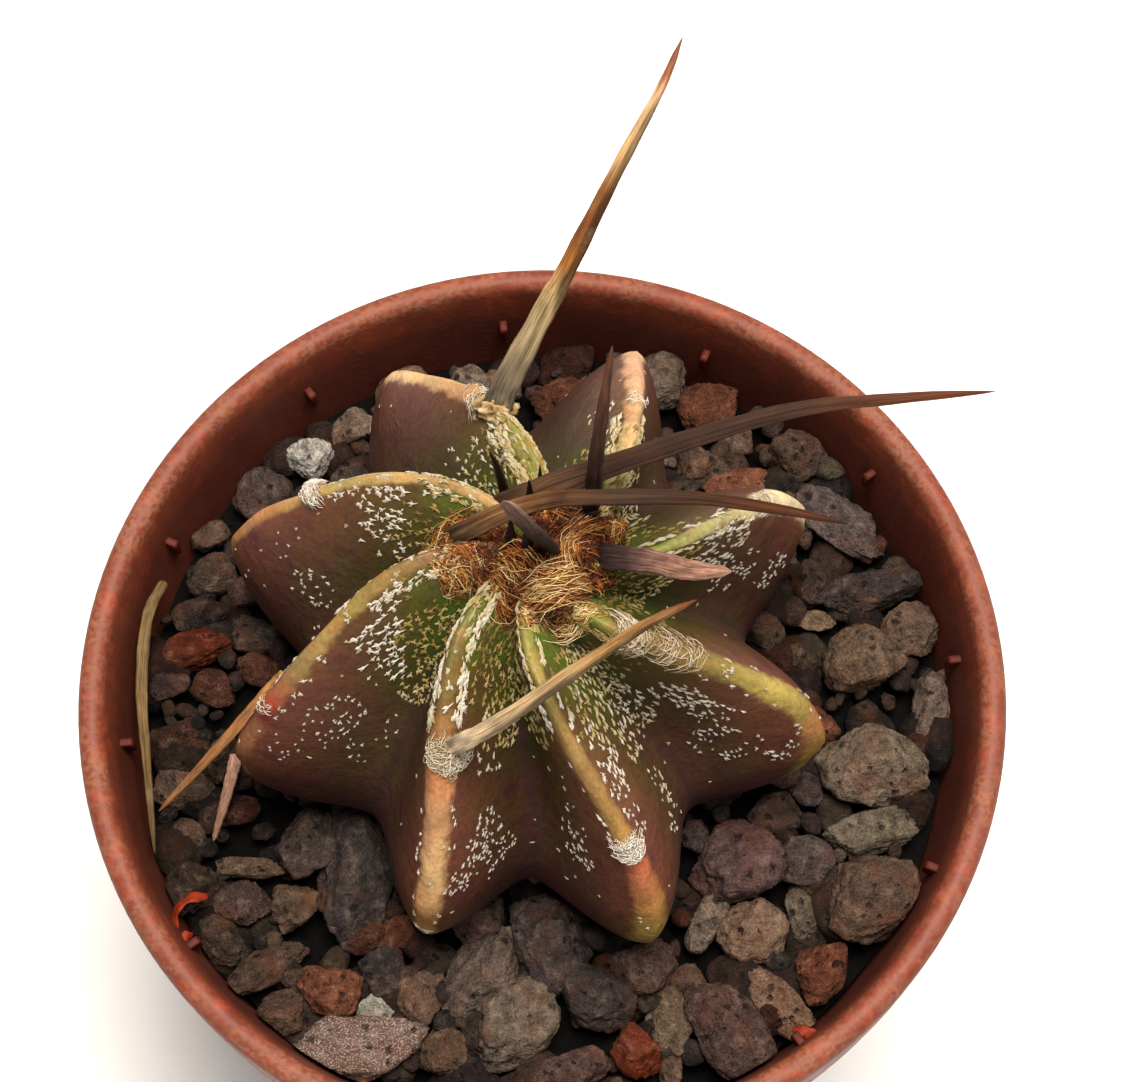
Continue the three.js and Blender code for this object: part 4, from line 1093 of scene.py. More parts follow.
def rock_radius(ways, seed, pits):
    """How far a broken rock reaches in each direction: blunt chip faces, lumps and a few open pores."""
    rng = np.random.default_rng(seed)
    chips = unit(rng.normal(size=(11, 3)))
    depth = rng.uniform(0.68, 0.97, 11)
    reach = depth / np.maximum(ways @ chips.T, 0.05)
    reach = np.concatenate([reach, np.full((len(ways), 1), 1.12)], axis=1)
    sharpness = rng.uniform(22, 60)
    radius = -np.log(np.exp(-sharpness * reach).sum(1)) / sharpness
    offset = Vector(rng.uniform(-50, 50, 3))
    lumps = [noise.fractal(Vector(way) * 2.7 + offset, 0.6, 2.2, 5 if pits else 2) for way in ways]
    radius += 0.09 * np.array(lumps)
    for _ in range(pits):
        centre = unit(rng.normal(size=3))
        spread = rng.uniform(0.05, 0.16)
        near = np.clip(1 - (np.arccos(np.clip(ways @ centre, -1, 1)) / spread) ** 2, 0, 1)
        radius -= rng.uniform(0.03, 0.09) * near**1.5
    return radius


def stone_points(ways, stone, index, pits=16):
    """Points in millimetres of one stone, sunk part way into the bed and kept inside the pot."""
    x, y, length, width, turn, _ = stone
    draw = draw_from(1000 + index * 77)
    half = width * (0.34 + 0.08 * draw())
    # The CAD source draws once for each of its stone's twelve corners
    for _ in range(12):
        draw()
    tilt_x, tilt_y = 0.3 * (draw() - 0.5), 0.3 * (draw() - 0.5)
    rise = BED_LEVEL + half * 0.36 + 0.3 * draw()
    points = ways * rock_radius(ways, 500 + index, pits)[:, None]
    points = points * np.array([length / 2, width / 2, half]) * 1.1
    turned = Euler((tilt_x, tilt_y, math.radians(turn))).to_matrix()
    return inside_pot(points @ np.array(turned).T + np.array([x, y, rise]))


def inside_pot(points):
    """Points drawn in to the pot's inner wall, in millimetres."""
    reach = np.hypot(points[:, 0], points[:, 1])
    limit = inner_radius(points[:, 2]) - 0.25
    points[:, :2] *= np.minimum(1, limit / np.maximum(reach, 1e-6))[:, None]
    return points


def stone_piece(name, stones, subdivisions, material, pits, lift=0.0, light=1.0):
    """One mesh of many stones, each in its own place and tone."""
    clear_selection()
    bpy.ops.mesh.primitive_ico_sphere_add(subdivisions=subdivisions, radius=1)
    piece = named(name)
    ways = unit(points_of(piece))
    repeated(piece, len(stones))
    rng = np.random.default_rng(7 + len(stones))
    places = []
    tones = []
    for index, stone in stones:
        places.append(stone_points(ways, stone, index, pits) + np.array([0, 0, lift]))
        tone = np.array(linear(STONE_TONES[stone[5]]))
        tone[:3] *= rng.uniform(0.5, 0.92) * rng.uniform(0.95, 1.05, 3)
        # Painted shade darkens the stones at the left of the pot, and those at the back are made lighter
        tone[:3] *= np.interp(stone[0], [-23, -14], [0.4, 0.96]) * np.interp(stone[1], [8, 15], [1, 1.35])
        tones.append(np.tile(tone, (len(ways), 1)))
    lay(piece, np.concatenate(places) * MM)
    paint(piece, "stone_tone", np.concatenate(tones))
    sparkles = [1.0 if stone[5] == "sparkling" else rng.uniform(0, 0.12) for _, stone in stones]
    paint(piece, "sparkle", np.repeat(sparkles, len(ways)))
    # The light factor is painted shade: below 1 it darkens stones that lie deeper
    paint(piece, "stone_light", np.full(len(piece.data.vertices), light))
    finish_piece(piece, material, "lava_gravel", "gravel")


def scattered(rng, count, lengths, stones, gap_share, from_stem):
    """Small stones thrown at random between others, as rows like those of the known stones."""
    rows = []
    while len(rows) < count:
        radius = CHIP_EDGE * math.sqrt(rng.uniform())
        angle = rng.uniform(0, 2 * math.pi)
        length = rng.uniform(*lengths)
        x, y = radius * math.cos(angle), radius * math.sin(angle)
        gap = min(math.hypot(x - row[0], y - row[1]) - 0.36 * (row[2] + row[3]) / 2 for row in stones + rows)
        if gap > gap_share * length and math.hypot(x - STEM_FOOT[0], y - STEM_FOOT[1]) > from_stem:
            tone = FILL_TONES[rng.integers(len(FILL_TONES))]
            rows.append((x, y, length, length * rng.uniform(0.6, 0.95), rng.uniform(0, 180), tone))
    return rows


def add_fines(rock):
    """A disc of crumbs that fills the pot under the stones."""
    clear_selection()
    bpy.ops.mesh.primitive_grid_add(x_subdivisions=80, y_subdivisions=80, size=2)
    piece = named("gravel_fines")
    spots = points_of(piece)
    # The square grid is drawn in to a disc
    square = np.abs(spots[:, :2]).max(1)
    disc = spots[:, :2] * (square / np.maximum(np.hypot(spots[:, 0], spots[:, 1]), 1e-9))[:, None]
    rng = np.random.default_rng(3)
    level = BED_LEVEL - 1.1
    top = level + rng.uniform(-0.35, 0.35, len(spots)) * (square < 0.97)
    for _ in range(7):
        wave = rng.normal(size=2) * 9
        top += 0.07 * np.sin(disc @ wave + rng.uniform(0, 6))
    reach = float(inner_radius(level)) - 0.3
    lay(piece, np.column_stack([disc * reach, top]) * MM)
    thick = piece.modifiers.new("Depth", "SOLIDIFY")
    thick.thickness = 0.6 * MM
    thick.offset = -1
    bpy.ops.object.modifier_apply(modifier=thick.name)
    count = len(piece.data.vertices)
    paint(piece, "stone_tone", np.tile(linear("#4a3a30"), (count, 1)))
    # Painted shade: the fines are darkened almost to black, deep in the gaps
    paint(piece, "stone_light", np.full(count, 0.012))
    finish_piece(piece, rock, "lava_gravel", "gravel")


class GRAVEL_OT_add(bpy.types.Operator):
    """Adds the growing mix, the fines under the gravel, the stones and the grit between them"""

    bl_idname = "cactus.gravel"
    bl_label = "Gravel"

    def execute(self, context):
        gravel = settings("gravel")
        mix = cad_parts["growing_mix"]
        mix.data.materials.clear()
        mix.data.materials.append(mineral_mix())

        rock = lava_rock(gravel)
        add_fines(rock)

        stones = placed_stones(gravel.fill_stones)
        known = list(enumerate(KNOWN_STONES))
        stone_piece("gravel_front", [row for row in known if row[1][1] < -10], 5, rock, 26)
        stone_piece("gravel_back", [row for row in known if row[1][1] >= -10], 5, rock, 26)
        stone_piece("gravel_fill", list(enumerate(stones))[len(known) :], 4, rock, 12)

        # A layer below, seen in the gaps, then small chips that settle between, both darkened with painted
        # shade
        rng = np.random.default_rng(19)
        lower = scattered(rng, gravel.under_stones, (2.6, 4.8), [(0, 60, 0, 0)], -0.05, 9.5)
        stone_piece("gravel_lower", list(enumerate(lower, 3000)), 3, rock, 4, -0.9, 0.3)
        chips = scattered(rng, gravel.grit, (0.9, 2.1), stones, 0.2, 11)
        stone_piece("gravel_grit", list(enumerate(chips, 2000)), 2, rock, 0, 0.1, 0.5)
        return {"FINISHED"}


# Stem


def tint_at(stops, share):
    """Linear colour at each share of a list of stops."""
    places = [place for place, _ in stops]
    colours = np.array([linear(code) for _, code in stops])
    return np.stack([np.interp(share, places, colours[:, channel]) for channel in range(4)], axis=-1)


def band_half(rib, share, band):
    """Half width of a rib's pale band at each share of the crest line, in metres."""
    rib, share = np.broadcast_arrays(rib, share)
    half = np.zeros(rib.shape)
    for number, stops in enumerate(BAND_SHAPES):
        places, widths = zip(*stops)
        half = np.where(rib == number, np.interp(share, places, widths) * band, half)
    return half


def cactus_skin():
    """Living cactus epidermis: waxy satin skin, wine-brown flanks, a green crown and straw ridges."""
    material = new_material("cactus_epidermis")
    place = add_node(material, "TexCoord").outputs["Object"]
    flank = add_node(material, "Attribute", attribute_name="flank_tint")
    ridge = add_node(material, "Attribute", attribute_name="ridge_tint")
    across = add_node(material, "Attribute", attribute_name="across_band")
    # The edge of the band wanders by about a fifth of a millimetre to either side
    ragged = add_node(
        material, "TexNoise", {"Vector": place, "Scale": 900.0, "Detail": 5.0, "Roughness": 0.65},
    )
    wander = add_node(
        material, "Math", {0: ragged, 1: 1.5, 2: across.outputs["Fac"]}, operation="MULTIPLY_ADD",
    )
    band = add_node(
        material, "MapRange", {"Value": wander, "From Min": 2.15, "From Max": 1.4},
        interpolation_type="SMOOTHSTEP",
    )
    # Wine patches of 2 to 4 mm over finer freckles and cells of a third of a millimetre
    mottle = add_node(
        material, "TexNoise", {"Vector": place, "Scale": 280.0, "Detail": 6.0, "Roughness": 0.66},
    )
    mottle_share = add_node(material, "ValToRGB", {"Fac": mottle}, stops=[(0.42, 0.0), (0.66, 0.5)])
    wine = add_node(material, "Mix", {0: mottle_share, 6: flank, 7: linear("#4a2024")}, data_type="RGBA")
    cells = add_node(
        material, "TexNoise", {"Vector": place, "Scale": 3200.0, "Detail": 3.0, "Roughness": 0.65},
    )
    cell_tone = add_node(material, "ValToRGB", {"Fac": cells}, stops=[(0.3, 0.78), (0.7, 1.22)])
    freckles = add_node(material, "TexNoise", {"Vector": place, "Scale": 620.0, "Detail": 3.0})
    freckle_share = add_node(material, "ValToRGB", {"Fac": freckles}, stops=[(0.58, 0.0), (0.7, 0.5)])
    freckled = add_node(
        material, "Mix", {0: freckle_share, 6: wine.outputs[2], 7: linear("#3c1c24")}, data_type="RGBA",
    )
    blush_share = add_node(material, "ValToRGB", {"Fac": freckles}, stops=[(0.32, 0.3), (0.48, 0.0)])
    blushed = add_node(material, "Mix", {0: blush_share, 6: ridge, 7: linear("#a05a38")}, data_type="RGBA")
    ridge_tone = add_node(material, "ValToRGB", {"Fac": mottle}, stops=[(0.36, 0.72), (0.62, 1.15)])
    shaded = add_node(
        material, "Mix", {0: 1.0, 6: blushed.outputs[2], 7: ridge_tone}, data_type="RGBA",
        blend_type="MULTIPLY",
    )
    banded = add_node(
        material, "Mix", {0: band, 6: freckled.outputs[2], 7: shaded.outputs[2]}, data_type="RGBA",
    )
    toned = add_node(
        material, "Mix", {0: 1.0, 6: banded.outputs[2], 7: cell_tone}, data_type="RGBA",
        blend_type="MULTIPLY",
    )
    coarse = add_node(material, "Math", {0: freckles, 1: 3.0, 2: ragged}, operation="MULTIPLY_ADD")
    relief = add_node(material, "Math", {0: cells, 1: 0.7, 2: coarse}, operation="MULTIPLY_ADD")
    bump = add_node(material, "Bump", {"Height": relief, "Strength": 0.6, "Distance": 0.0001})
    rough = add_node(material, "MapRange", {"Value": ragged, "To Min": 0.36, "To Max": 0.6})
    fold_shade = add_node(material, "Attribute", attribute_name="fold_shade")
    dull = add_node(
        material, "Math", {0: fold_shade.outputs["Fac"], 1: 0.6, 2: rough}, operation="MULTIPLY_ADD",
        use_clamp=True,
    )
    shader = add_node(
        material, "BsdfPrincipled",
        {"Base Color": toned.outputs[2], "Roughness": dull, "IOR": 1.42, "Specular IOR Level": 0.28,
         "Normal": bump},
    )
    add_node(material, "OutputMaterial", {"Surface": shader})
    return material


class STEM_OT_add(bpy.types.Operator):
    """Adds the ribbed stem with its taproot"""

    bl_idname = "cactus.stem"
    bl_label = "Stem"

    def execute(self, context):
        stem = settings("stem")
        piece, _, level, way = round_piece("stem_skin", RIBS * stem.around, stem.along)
        turn = (way / (2 * np.pi) * RIBS) % RIBS
        # Most of the rings lie above the gravel, where they are seen
        share = np.interp(level, [0, 0.86, 1], [0, 0.66, 1])
        points = stem_at(turn, share)
        rib = np.round(turn) % RIBS
        from_crest = np.linalg.norm(points - stem_at(rib, share), axis=1)
        _, _, out, _, _ = stem_frame(turn, np.clip(share, 0.004, 0.996))
        # The skin swells a little under each areole and dips in the waist between two of them
        for pad_rib, pad_share, length, width, *_ in AREOLES:
            near = np.linalg.norm(points - stem_at(pad_rib, pad_share), axis=1) / MM
            points = points + out * (0.3 * MM * np.exp(-((near / (0.35 * (length + width))) ** 2)))[:, None]
        # Slow waves along the ridges, as grown season by season
        wave = np.sin(share * 62 + rib * 1.7) * np.exp(-((from_crest / (1.6 * MM)) ** 2))
        points = points + out * (0.09 * MM * wave * (share > 0.12) * (share < 0.5))[:, None]
        lay(piece, points)

        closeness = np.clip(1 - from_crest / (6 * MM), 0, 1)[:, None]
        flank = tint_at(FLANK_TINT, share) * closeness + tint_at(VALLEY_TINT, share) * (1 - closeness)
        # The side in the shade is a little darker, the sunny front a little lighter
        flank *= np.interp(turn, [0, 3.6, 4.5, 5.5, 6.5, 7.5, 8], [1, 1, 0.88, 0.98, 1.16, 1.06, 1])[:, None]
        # The flanks turn olive and gold round each tip
        glow = np.clip((share - 0.37) / 0.08, 0, 1) * np.exp(-((from_crest / (2.1 * MM)) ** 2))
        glow = (glow * np.array(TIP_GLOW)[rib.astype(int)])[:, None]
        flank = flank * (1 - glow) + np.array(linear("#80682c")) * glow
        # Painted shade darkens the bottom of each valley, and the fold there has no gloss
        from_valley = np.linalg.norm(points - stem_at(np.floor(turn) + 0.5, share), axis=1)
        fold_shade = np.exp(-((from_valley / (0.55 * MM)) ** 2)) * np.clip((share - 0.2) / 0.06, 0, 1)
        flank[:, :3] *= 1 - 0.5 * fold_shade[:, None]
        paint(piece, "fold_shade", fold_shade)
        ridge = np.zeros_like(flank)
        for number, stops in enumerate(RIDGE_TINTS):
            own = rib == number
            ridge[own] = tint_at(stops, share[own])
        paint(piece, "flank_tint", flank)
        paint(piece, "ridge_tint", ridge)
        paint(piece, "across_band", from_crest / band_half(rib, share, stem.band))
        finish_piece(piece, cactus_skin(), "stem_skin", "stem")
        return {"FINISHED"}


def fleck_hair():
    """Flecks of matted white hair: dry and matt, from golden in the crown to chalk white further down."""
    material = new_material("fleck_hair")
    place = add_node(material, "TexCoord").outputs["Object"]
    white = add_node(material, "Attribute", attribute_name="whiteness")
    grain = add_node(material, "TexNoise", {"Vector": place, "Scale": 6000.0, "Detail": 2.0})
    shifted = add_node(
        material, "Math", {0: grain, 1: 0.3, 2: white.outputs["Fac"]}, operation="MULTIPLY_ADD",
    )
    colour = add_node(
        material, "ValToRGB", {"Fac": shifted},
        stops=[(0.24, "#3c2e10"), (0.44, "#634f1e"), (0.62, "#8a743a"), (0.84, "#a59877"), (1.04, "#b4ada0")],
    )
    shader = add_node(material, "BsdfPrincipled", {"Base Color": colour, "Roughness": 0.95})
    add_node(material, "OutputMaterial", {"Surface": shader})
    return material


def fleck_rows(band):
    """Turn, share, whiteness, length, width and heading of every fleck."""
    rng = np.random.default_rng(11)
    rows = []
    fixed = []

    def add(turn, share, white, length, width, heading, stays):
        size = rng.uniform(0.62, 1.14)
        # Flecks are golden where they are young, close to the crown
        white = white - 2.6 * max(0, 0.225 - share) + rng.uniform(-0.16, 0.1)
        rows.append((turn, share, white, length * size, width * size * rng.uniform(0.8, 1.2), heading))
        fixed.append(stays)

    for turn, share, turn_spread, share_spread, count, white, length, width in FLECK_PATCHES:
        # The older flecks further down are worn smaller and stand closer together
        worn = 0.7 if share > 0.3 else 0.9
        for _ in range(int(1.8 * count)):
            way = rng.uniform(0, 2 * math.pi)
            reach = math.sqrt(rng.uniform()) * 1.35
            add(
                turn + turn_spread * reach * math.cos(way), share + share_spread * reach * math.sin(way),
                white, worn * length, worn * max(width, 0.48 * length), rng.normal(0, 0.45), False,
            )
    for rib, first, last, count, length, width, white in FLECK_EDGES:
        for side in (-1, 1):
            for _ in range(int(1.3 * count)):
                share = first + (last - first) * rng.uniform()
                off = float(band_half(rib, share, band)) * rng.uniform(0.8, 1.3)
                beside = spots_beside(
                    np.array(float(rib)), np.array(share), np.array(0.0), np.array(side * off),
                )
                add(
                    float(beside[0]), float(beside[1]), white + 0.06, length, max(width, 0.42 * length),
                    rng.normal(0, 0.25), True,
                )
    for rib, first, last, count, length, white in BAND_FLECKS:
        for _ in range(count):
            share = rng.uniform(first, last)
            off = float(band_half(rib, share, band)) * rng.uniform(-0.8, 0.8)
            beside = spots_beside(np.array(float(rib)), np.array(share), np.array(0.0), np.array(off))
            add(float(beside[0]), float(beside[1]), white, length, 0.5 * length, rng.normal(0, 0.4), True)
    for turn, count in CROWN_FLECKS:
        for _ in range(count):
            share = rng.uniform(0.1, 0.24)
            add(turn + rng.uniform(-0.42, 0.42), share, 0.45, 0.7, 0.44, rng.normal(0, 0.6), False)
    for _ in range(LOOSE_FLECKS):
        add(rng.uniform(0, RIBS), rng.uniform(0.26, 0.44), 0.8, 0.32, 0.2, rng.uniform(-1.5, 1.5), False)
    rows = np.array(rows)
    # Flecks lie side by side like scales: one that would cover another is left out, but not in the ribbons
    spots = stem_at(rows[:, 0], rows[:, 1]) / MM
    size = (rows[:, 3] + rows[:, 4]) / 2
    kept = []
    for place, spot in enumerate(spots):
        room = 0.36 * (size[kept] + size[place])
        if fixed[place] or np.all(np.linalg.norm(spots[kept] - spot, axis=1) > room):
            kept.append(place)
    return rows[kept]


class FLECKS_OT_add(bpy.types.Operator):
    """Adds the small hair flecks that lie on the skin"""

    bl_idname = "cactus.flecks"
    bl_label = "Flecks"

    def execute(self, context):
        stem = settings("stem")
        rows = fleck_rows(stem.band)
        clear_selection()
        corners = 14
        bpy.ops.mesh.primitive_cone_add(
            vertices=corners, radius1=1, radius2=0, depth=1, end_fill_type="TRIFAN",
        )
        piece = named("skin_flecks")
        cone = points_of(piece)
        corner = np.hypot(cone[:, 0], cone[:, 1]) > 0.5
        tip = cone[:, 2] > 0.25
        way = np.arctan2(cone[:, 1], cone[:, 0])
        repeated(piece, len(rows))
        rng = np.random.default_rng(23)
        turn = rows[:, 0:1]
        share = rows[:, 1:2]
        heading = rows[:, 5:6]
        # Every second corner stands back, so that each fleck is a ragged star of hairs
        odd = np.round(way / (2 * np.pi / corners)).astype(int) % 2 == 0
        shape = (len(rows), len(cone))
        reach = np.where(odd, rng.uniform(0.6, 1.45, shape), rng.uniform(0.26, 0.6, shape))
        reach = np.where(corner, reach, 0.0)
        lengthwise = reach * np.cos(way) * rows[:, 3:4] / 2 * MM
        sideways = reach * np.sin(way) * rows[:, 4:5] / 2 * MM
        along = lengthwise * np.cos(heading) - sideways * np.sin(heading)
        across = lengthwise * np.sin(heading) + sideways * np.cos(heading)
        turns = np.broadcast_to(turn, along.shape)
        shares = np.broadcast_to(share, along.shape)
        near_turn, near_share = spots_beside(turns, shares, along, across)
        skin = stem_at(near_turn, near_share)
        _, _, out, _, _ = stem_frame(turns, shares)
        lift = np.where(tip, stem.fleck_lift, np.where(corner, 0.05 * MM, -0.12 * MM))
        size = rows[:, 3:4] / 0.7
        lay(piece, skin + out * (lift[None, :] * np.where(tip, size, 1.0))[..., None])
        paint(piece, "whiteness", np.repeat(rows[:, 2], len(cone)))
        finish_piece(piece, fleck_hair(), "stem_skin", smooth=False)
        return {"FINISHED"}


# Wool and felt


def wool_fibre(name, stops):
    """Plant wool: fine dry hairs without gloss, darker deep in the tuft, where painted shade lowers the
    strand tone.
    """
    material = new_material(name)
    place = add_node(material, "TexCoord").outputs["Object"]
    tone = add_node(material, "Attribute", attribute_name="strand_tone")
    grain = add_node(material, "TexNoise", {"Vector": place, "Scale": 2500.0, "Detail": 3.0})
    shifted = add_node(
        material, "Math", {0: grain, 1: 0.25, 2: tone.outputs["Fac"]}, operation="MULTIPLY_ADD",
    )
    colour = add_node(material, "ValToRGB", {"Fac": shifted}, stops=stops)
    bump = add_node(material, "Bump", {"Height": grain, "Strength": 0.5, "Distance": 0.0001})
    shader = add_node(material, "BsdfPrincipled", {"Base Color": colour, "Roughness": 0.9, "Normal": bump})
    add_node(material, "OutputMaterial", {"Surface": shader})
    return material


def strand_piece(name, paths, half_width, tones, material, slot, *nodes):
    """One mesh of many fine hairs, each laid along its own path of points in metres."""
    count, stops, _ = paths.shape
    piece, ball, level, way = round_piece(name, 3, stops - 1, count)
    level = np.round(level * (stops - 1)).astype(int)
    side, up = ways_across(unit(np.gradient(paths, axis=1)), np.array([0.31, 0.2, 0.93]))
    wide = np.where((level == 0) | (level == stops - 1), 0, half_width)
    wide = wide[None, :] * np.interp(level / (stops - 1), [0, 0.7, 1], [1, 0.9, 0.3])[None, :]
    spots = paths[:, level] + wide[..., None] * (
        side[:, level] * np.cos(way)[None, :, None] + up[:, level] * np.sin(way)[None, :, None]
    )
    lay(piece, spots)
    paint(piece, "strand_tone", np.repeat(tones, len(ball)))
    finish_piece(piece, material, slot, *nodes)


CURLY_HAIRS = 1500
WOOL_TINTS = [
    (0.06, "#1e0702"), (0.2, "#561c05"), (0.34, "#8a400c"), (0.5, "#9c601a"), (0.66, "#b08038"),
    (0.84, "#c4a265"), (1.0, "#dcc898"),
]
FELT_TINTS = [(0.1, "#3c2c18"), (0.3, "#785c34"), (0.5, "#a3885e"), (0.72, "#c0af94"), (1.0, "#ddd6ca")]


def raised(paths, pieces, rng):
    """Hairs lifted clear of the pieces below them, their ends a little less than their middles."""
    bell = np.sin(np.linspace(0, math.pi, paths.shape[1]))
    lifted = paths.copy()
    clear = rng.uniform(-0.05, 0.22, len(paths))
    for row in range(paths.shape[0]):
        for stop in range(paths.shape[1]):
            x, y, z = paths[row, stop]
            for piece in pieces:
                hit, where, _, _ = piece.ray_cast(Vector((x, y, 90)) * MM, Vector((0, 0, -1)))
                if hit:
                    z = max(z, where.z / MM + clear[row] - 0.2 * (1 - bell[stop]))
            lifted[row, stop, 2] = z
    return lifted


def lumpy_balls(name, rows, segments, material, slot, *nodes):
    """One mesh of matted lumps: rows of centre and half sizes in millimetres, whiteness and roughness."""
    piece, ways, _, _ = round_piece(name, segments, segments // 2, len(rows))
    places = []
    tones = []
    for number, (centre, half, white, rough) in enumerate(rows):
        offset = Vector((number * 7.3, 2.1, -4.4))
        lumps = np.array([noise.fractal(Vector(way) * 2.6 + offset, 0.8, 2.2, 4) for way in ways])
        places.append(np.array(centre) + ways * (1 + rough * lumps)[:, None] * np.array(half))
        # Painted shade and light: the dents of a lump are darker and its bulges lighter
        tones.append(white + 0.55 * lumps)
    lay(piece, np.concatenate(places) * MM)
    paint(piece, "strand_tone", np.clip(np.concatenate(tones), 0, 1))
    finish_piece(piece, material, slot, *nodes)
    return piece


def combed_hairs(rng, steps, thickness):
    """Hairs of the locks, combed side by side, each a little longer or shorter than its neighbours."""
    paths = []
    whites = []
    bell = np.sin(np.pi * steps)
    for stops, spread, count, white in LOCKS:
        for _ in range(int(1.2 * count * thickness)):
            first, last = rng.uniform(-0.04, 0.35), rng.uniform(0.62, 1.04)
            line, ahead = route_at(stops, np.clip(first + (last - first) * steps, 0, 1))
            side, _ = ways_across(ahead, [0, 0, 1])
            off = rng.normal(0, spread, 2) * [1.2, 0.55]
            cross = rng.normal(0, 0.85)
            curl = rng.uniform(0.05, 0.3) * np.sin(steps * rng.uniform(3, 12) + rng.uniform(0, 6))
            line = line + side * (off[0] + cross * (steps - 0.5) + curl)[:, None]
            line[:, 2] += off[1] - rng.uniform(0.2, 0.7) * (1 - bell)
            paths.append(line)
            # Painted light and shade: hairs that lie higher in a lock are lighter, lower ones darker
            whites.append(white - 0.2 + 0.2 * off[1] / spread + rng.normal(0, 0.28))
    return paths, whites


def curly_hairs(rng, steps, thickness):
    """Short curly hairs in every direction over the mats, one in six of them flying out."""
    paths = []
    whites = []
    shares = [row[3] for row in LOBES]
    for _ in range(int(CURLY_HAIRS * thickness)):
        centre, half, white, _ = LOBES[rng.choice(len(LOBES), p=shares)]
        start = unit(rng.normal(size=3) + [0, 0, 0.9])
        lead = rng.normal(size=3)
        lead = unit(lead - start * (lead @ start))
        sweep = rng.uniform(0.4, 1.2) * (steps - 0.5)
        arc = np.cos(sweep)[:, None] * start + np.sin(sweep)[:, None] * lead
        curl = 0.08 * np.sin(steps * rng.uniform(4, 14) + rng.uniform(0, 6))
        flight = 0.4 * steps if rng.uniform() < 0.17 else 0.12 * rng.uniform() * np.sin(np.pi * steps)
        reach = rng.uniform(0.87, 1.0) + flight + curl
        paths.append(np.array(centre) + arc * reach[:, None] * np.array(half))
        whites.append(white + 0.02 + rng.normal(0, 0.28))
    return paths, whites


def add_young_spines():
    """The small dark spines that stand in the wool."""
    piece, _, level, way = round_piece("crown_young_spines", 12, 22, len(YOUNG_SPINES))
    spikes = []
    for *route, half_width in YOUNG_SPINES:
        centre, ahead = route_at(route, level)
        side, up = ways_across(ahead, [0.2, -0.9, 0.3])
        wide = half_width * np.sqrt(np.clip(level / 0.06, 0, 1)) * (1 - level**1.6) ** 0.9
        across = (wide * np.cos(way))[:, None] * side
        spikes.append(centre + across + 0.7 * (wide * np.sin(way))[:, None] * up)
    lay(piece, np.concatenate(spikes) * MM)
    tints = tint_at([(0, "#2a1310"), (0.5, "#140d10"), (1, "#1e1214")], level)
    paint(piece, "length_tint", np.tile(tints, (len(YOUNG_SPINES), 1)))
    finish_piece(piece, horn_spine("young_spine", 0.36, "#4a3c34"), "spine_dark", "crown_wool")


class WOOL_OT_crown(bpy.types.Operator):
    """Adds the matted wool of the crown and the young dark spines that stand in it"""

    bl_idname = "cactus.crown_wool"
    bl_label = "Crown wool"

    def execute(self, context):
        wool = settings("wool")
        rng = np.random.default_rng(5)
        fibre = wool_fibre("crown_wool_fibre", WOOL_TINTS)
        lobes = [(centre, np.array(half) * 0.84, white - 0.1, 0.34) for centre, half, white, _ in LOBES]
        mats = lumpy_balls("crown_wool_mats", lobes, 44, fibre, "crown_wool", "crown_wool")
        context.view_layer.update()
        steps = np.linspace(0, 1, 8)
        combed, combed_whites = combed_hairs(rng, steps, wool.thickness)
        curly, curly_whites = curly_hairs(rng, steps, wool.thickness)
        paths = raised(np.array(combed + curly), [bpy.data.objects["stem_skin"], mats], rng)
        whites = np.array(combed_whites + curly_whites)
        middle = paths[:, 4]
        # Painted shade: hairs near a pocket are darkened
        for pocket in POCKETS:
            near = np.linalg.norm((middle - np.array(pocket)) / [1.1, 1.1, 1.6], axis=1)
            whites -= 0.42 * np.exp(-(near**2))
        strand_piece(
            "crown_wool_hairs", paths * MM, wool.strand, np.clip(whites, 0, 1), fibre, "crown_wool",
            "crown_wool",
        )
        add_young_spines()
        return {"FINISHED"}


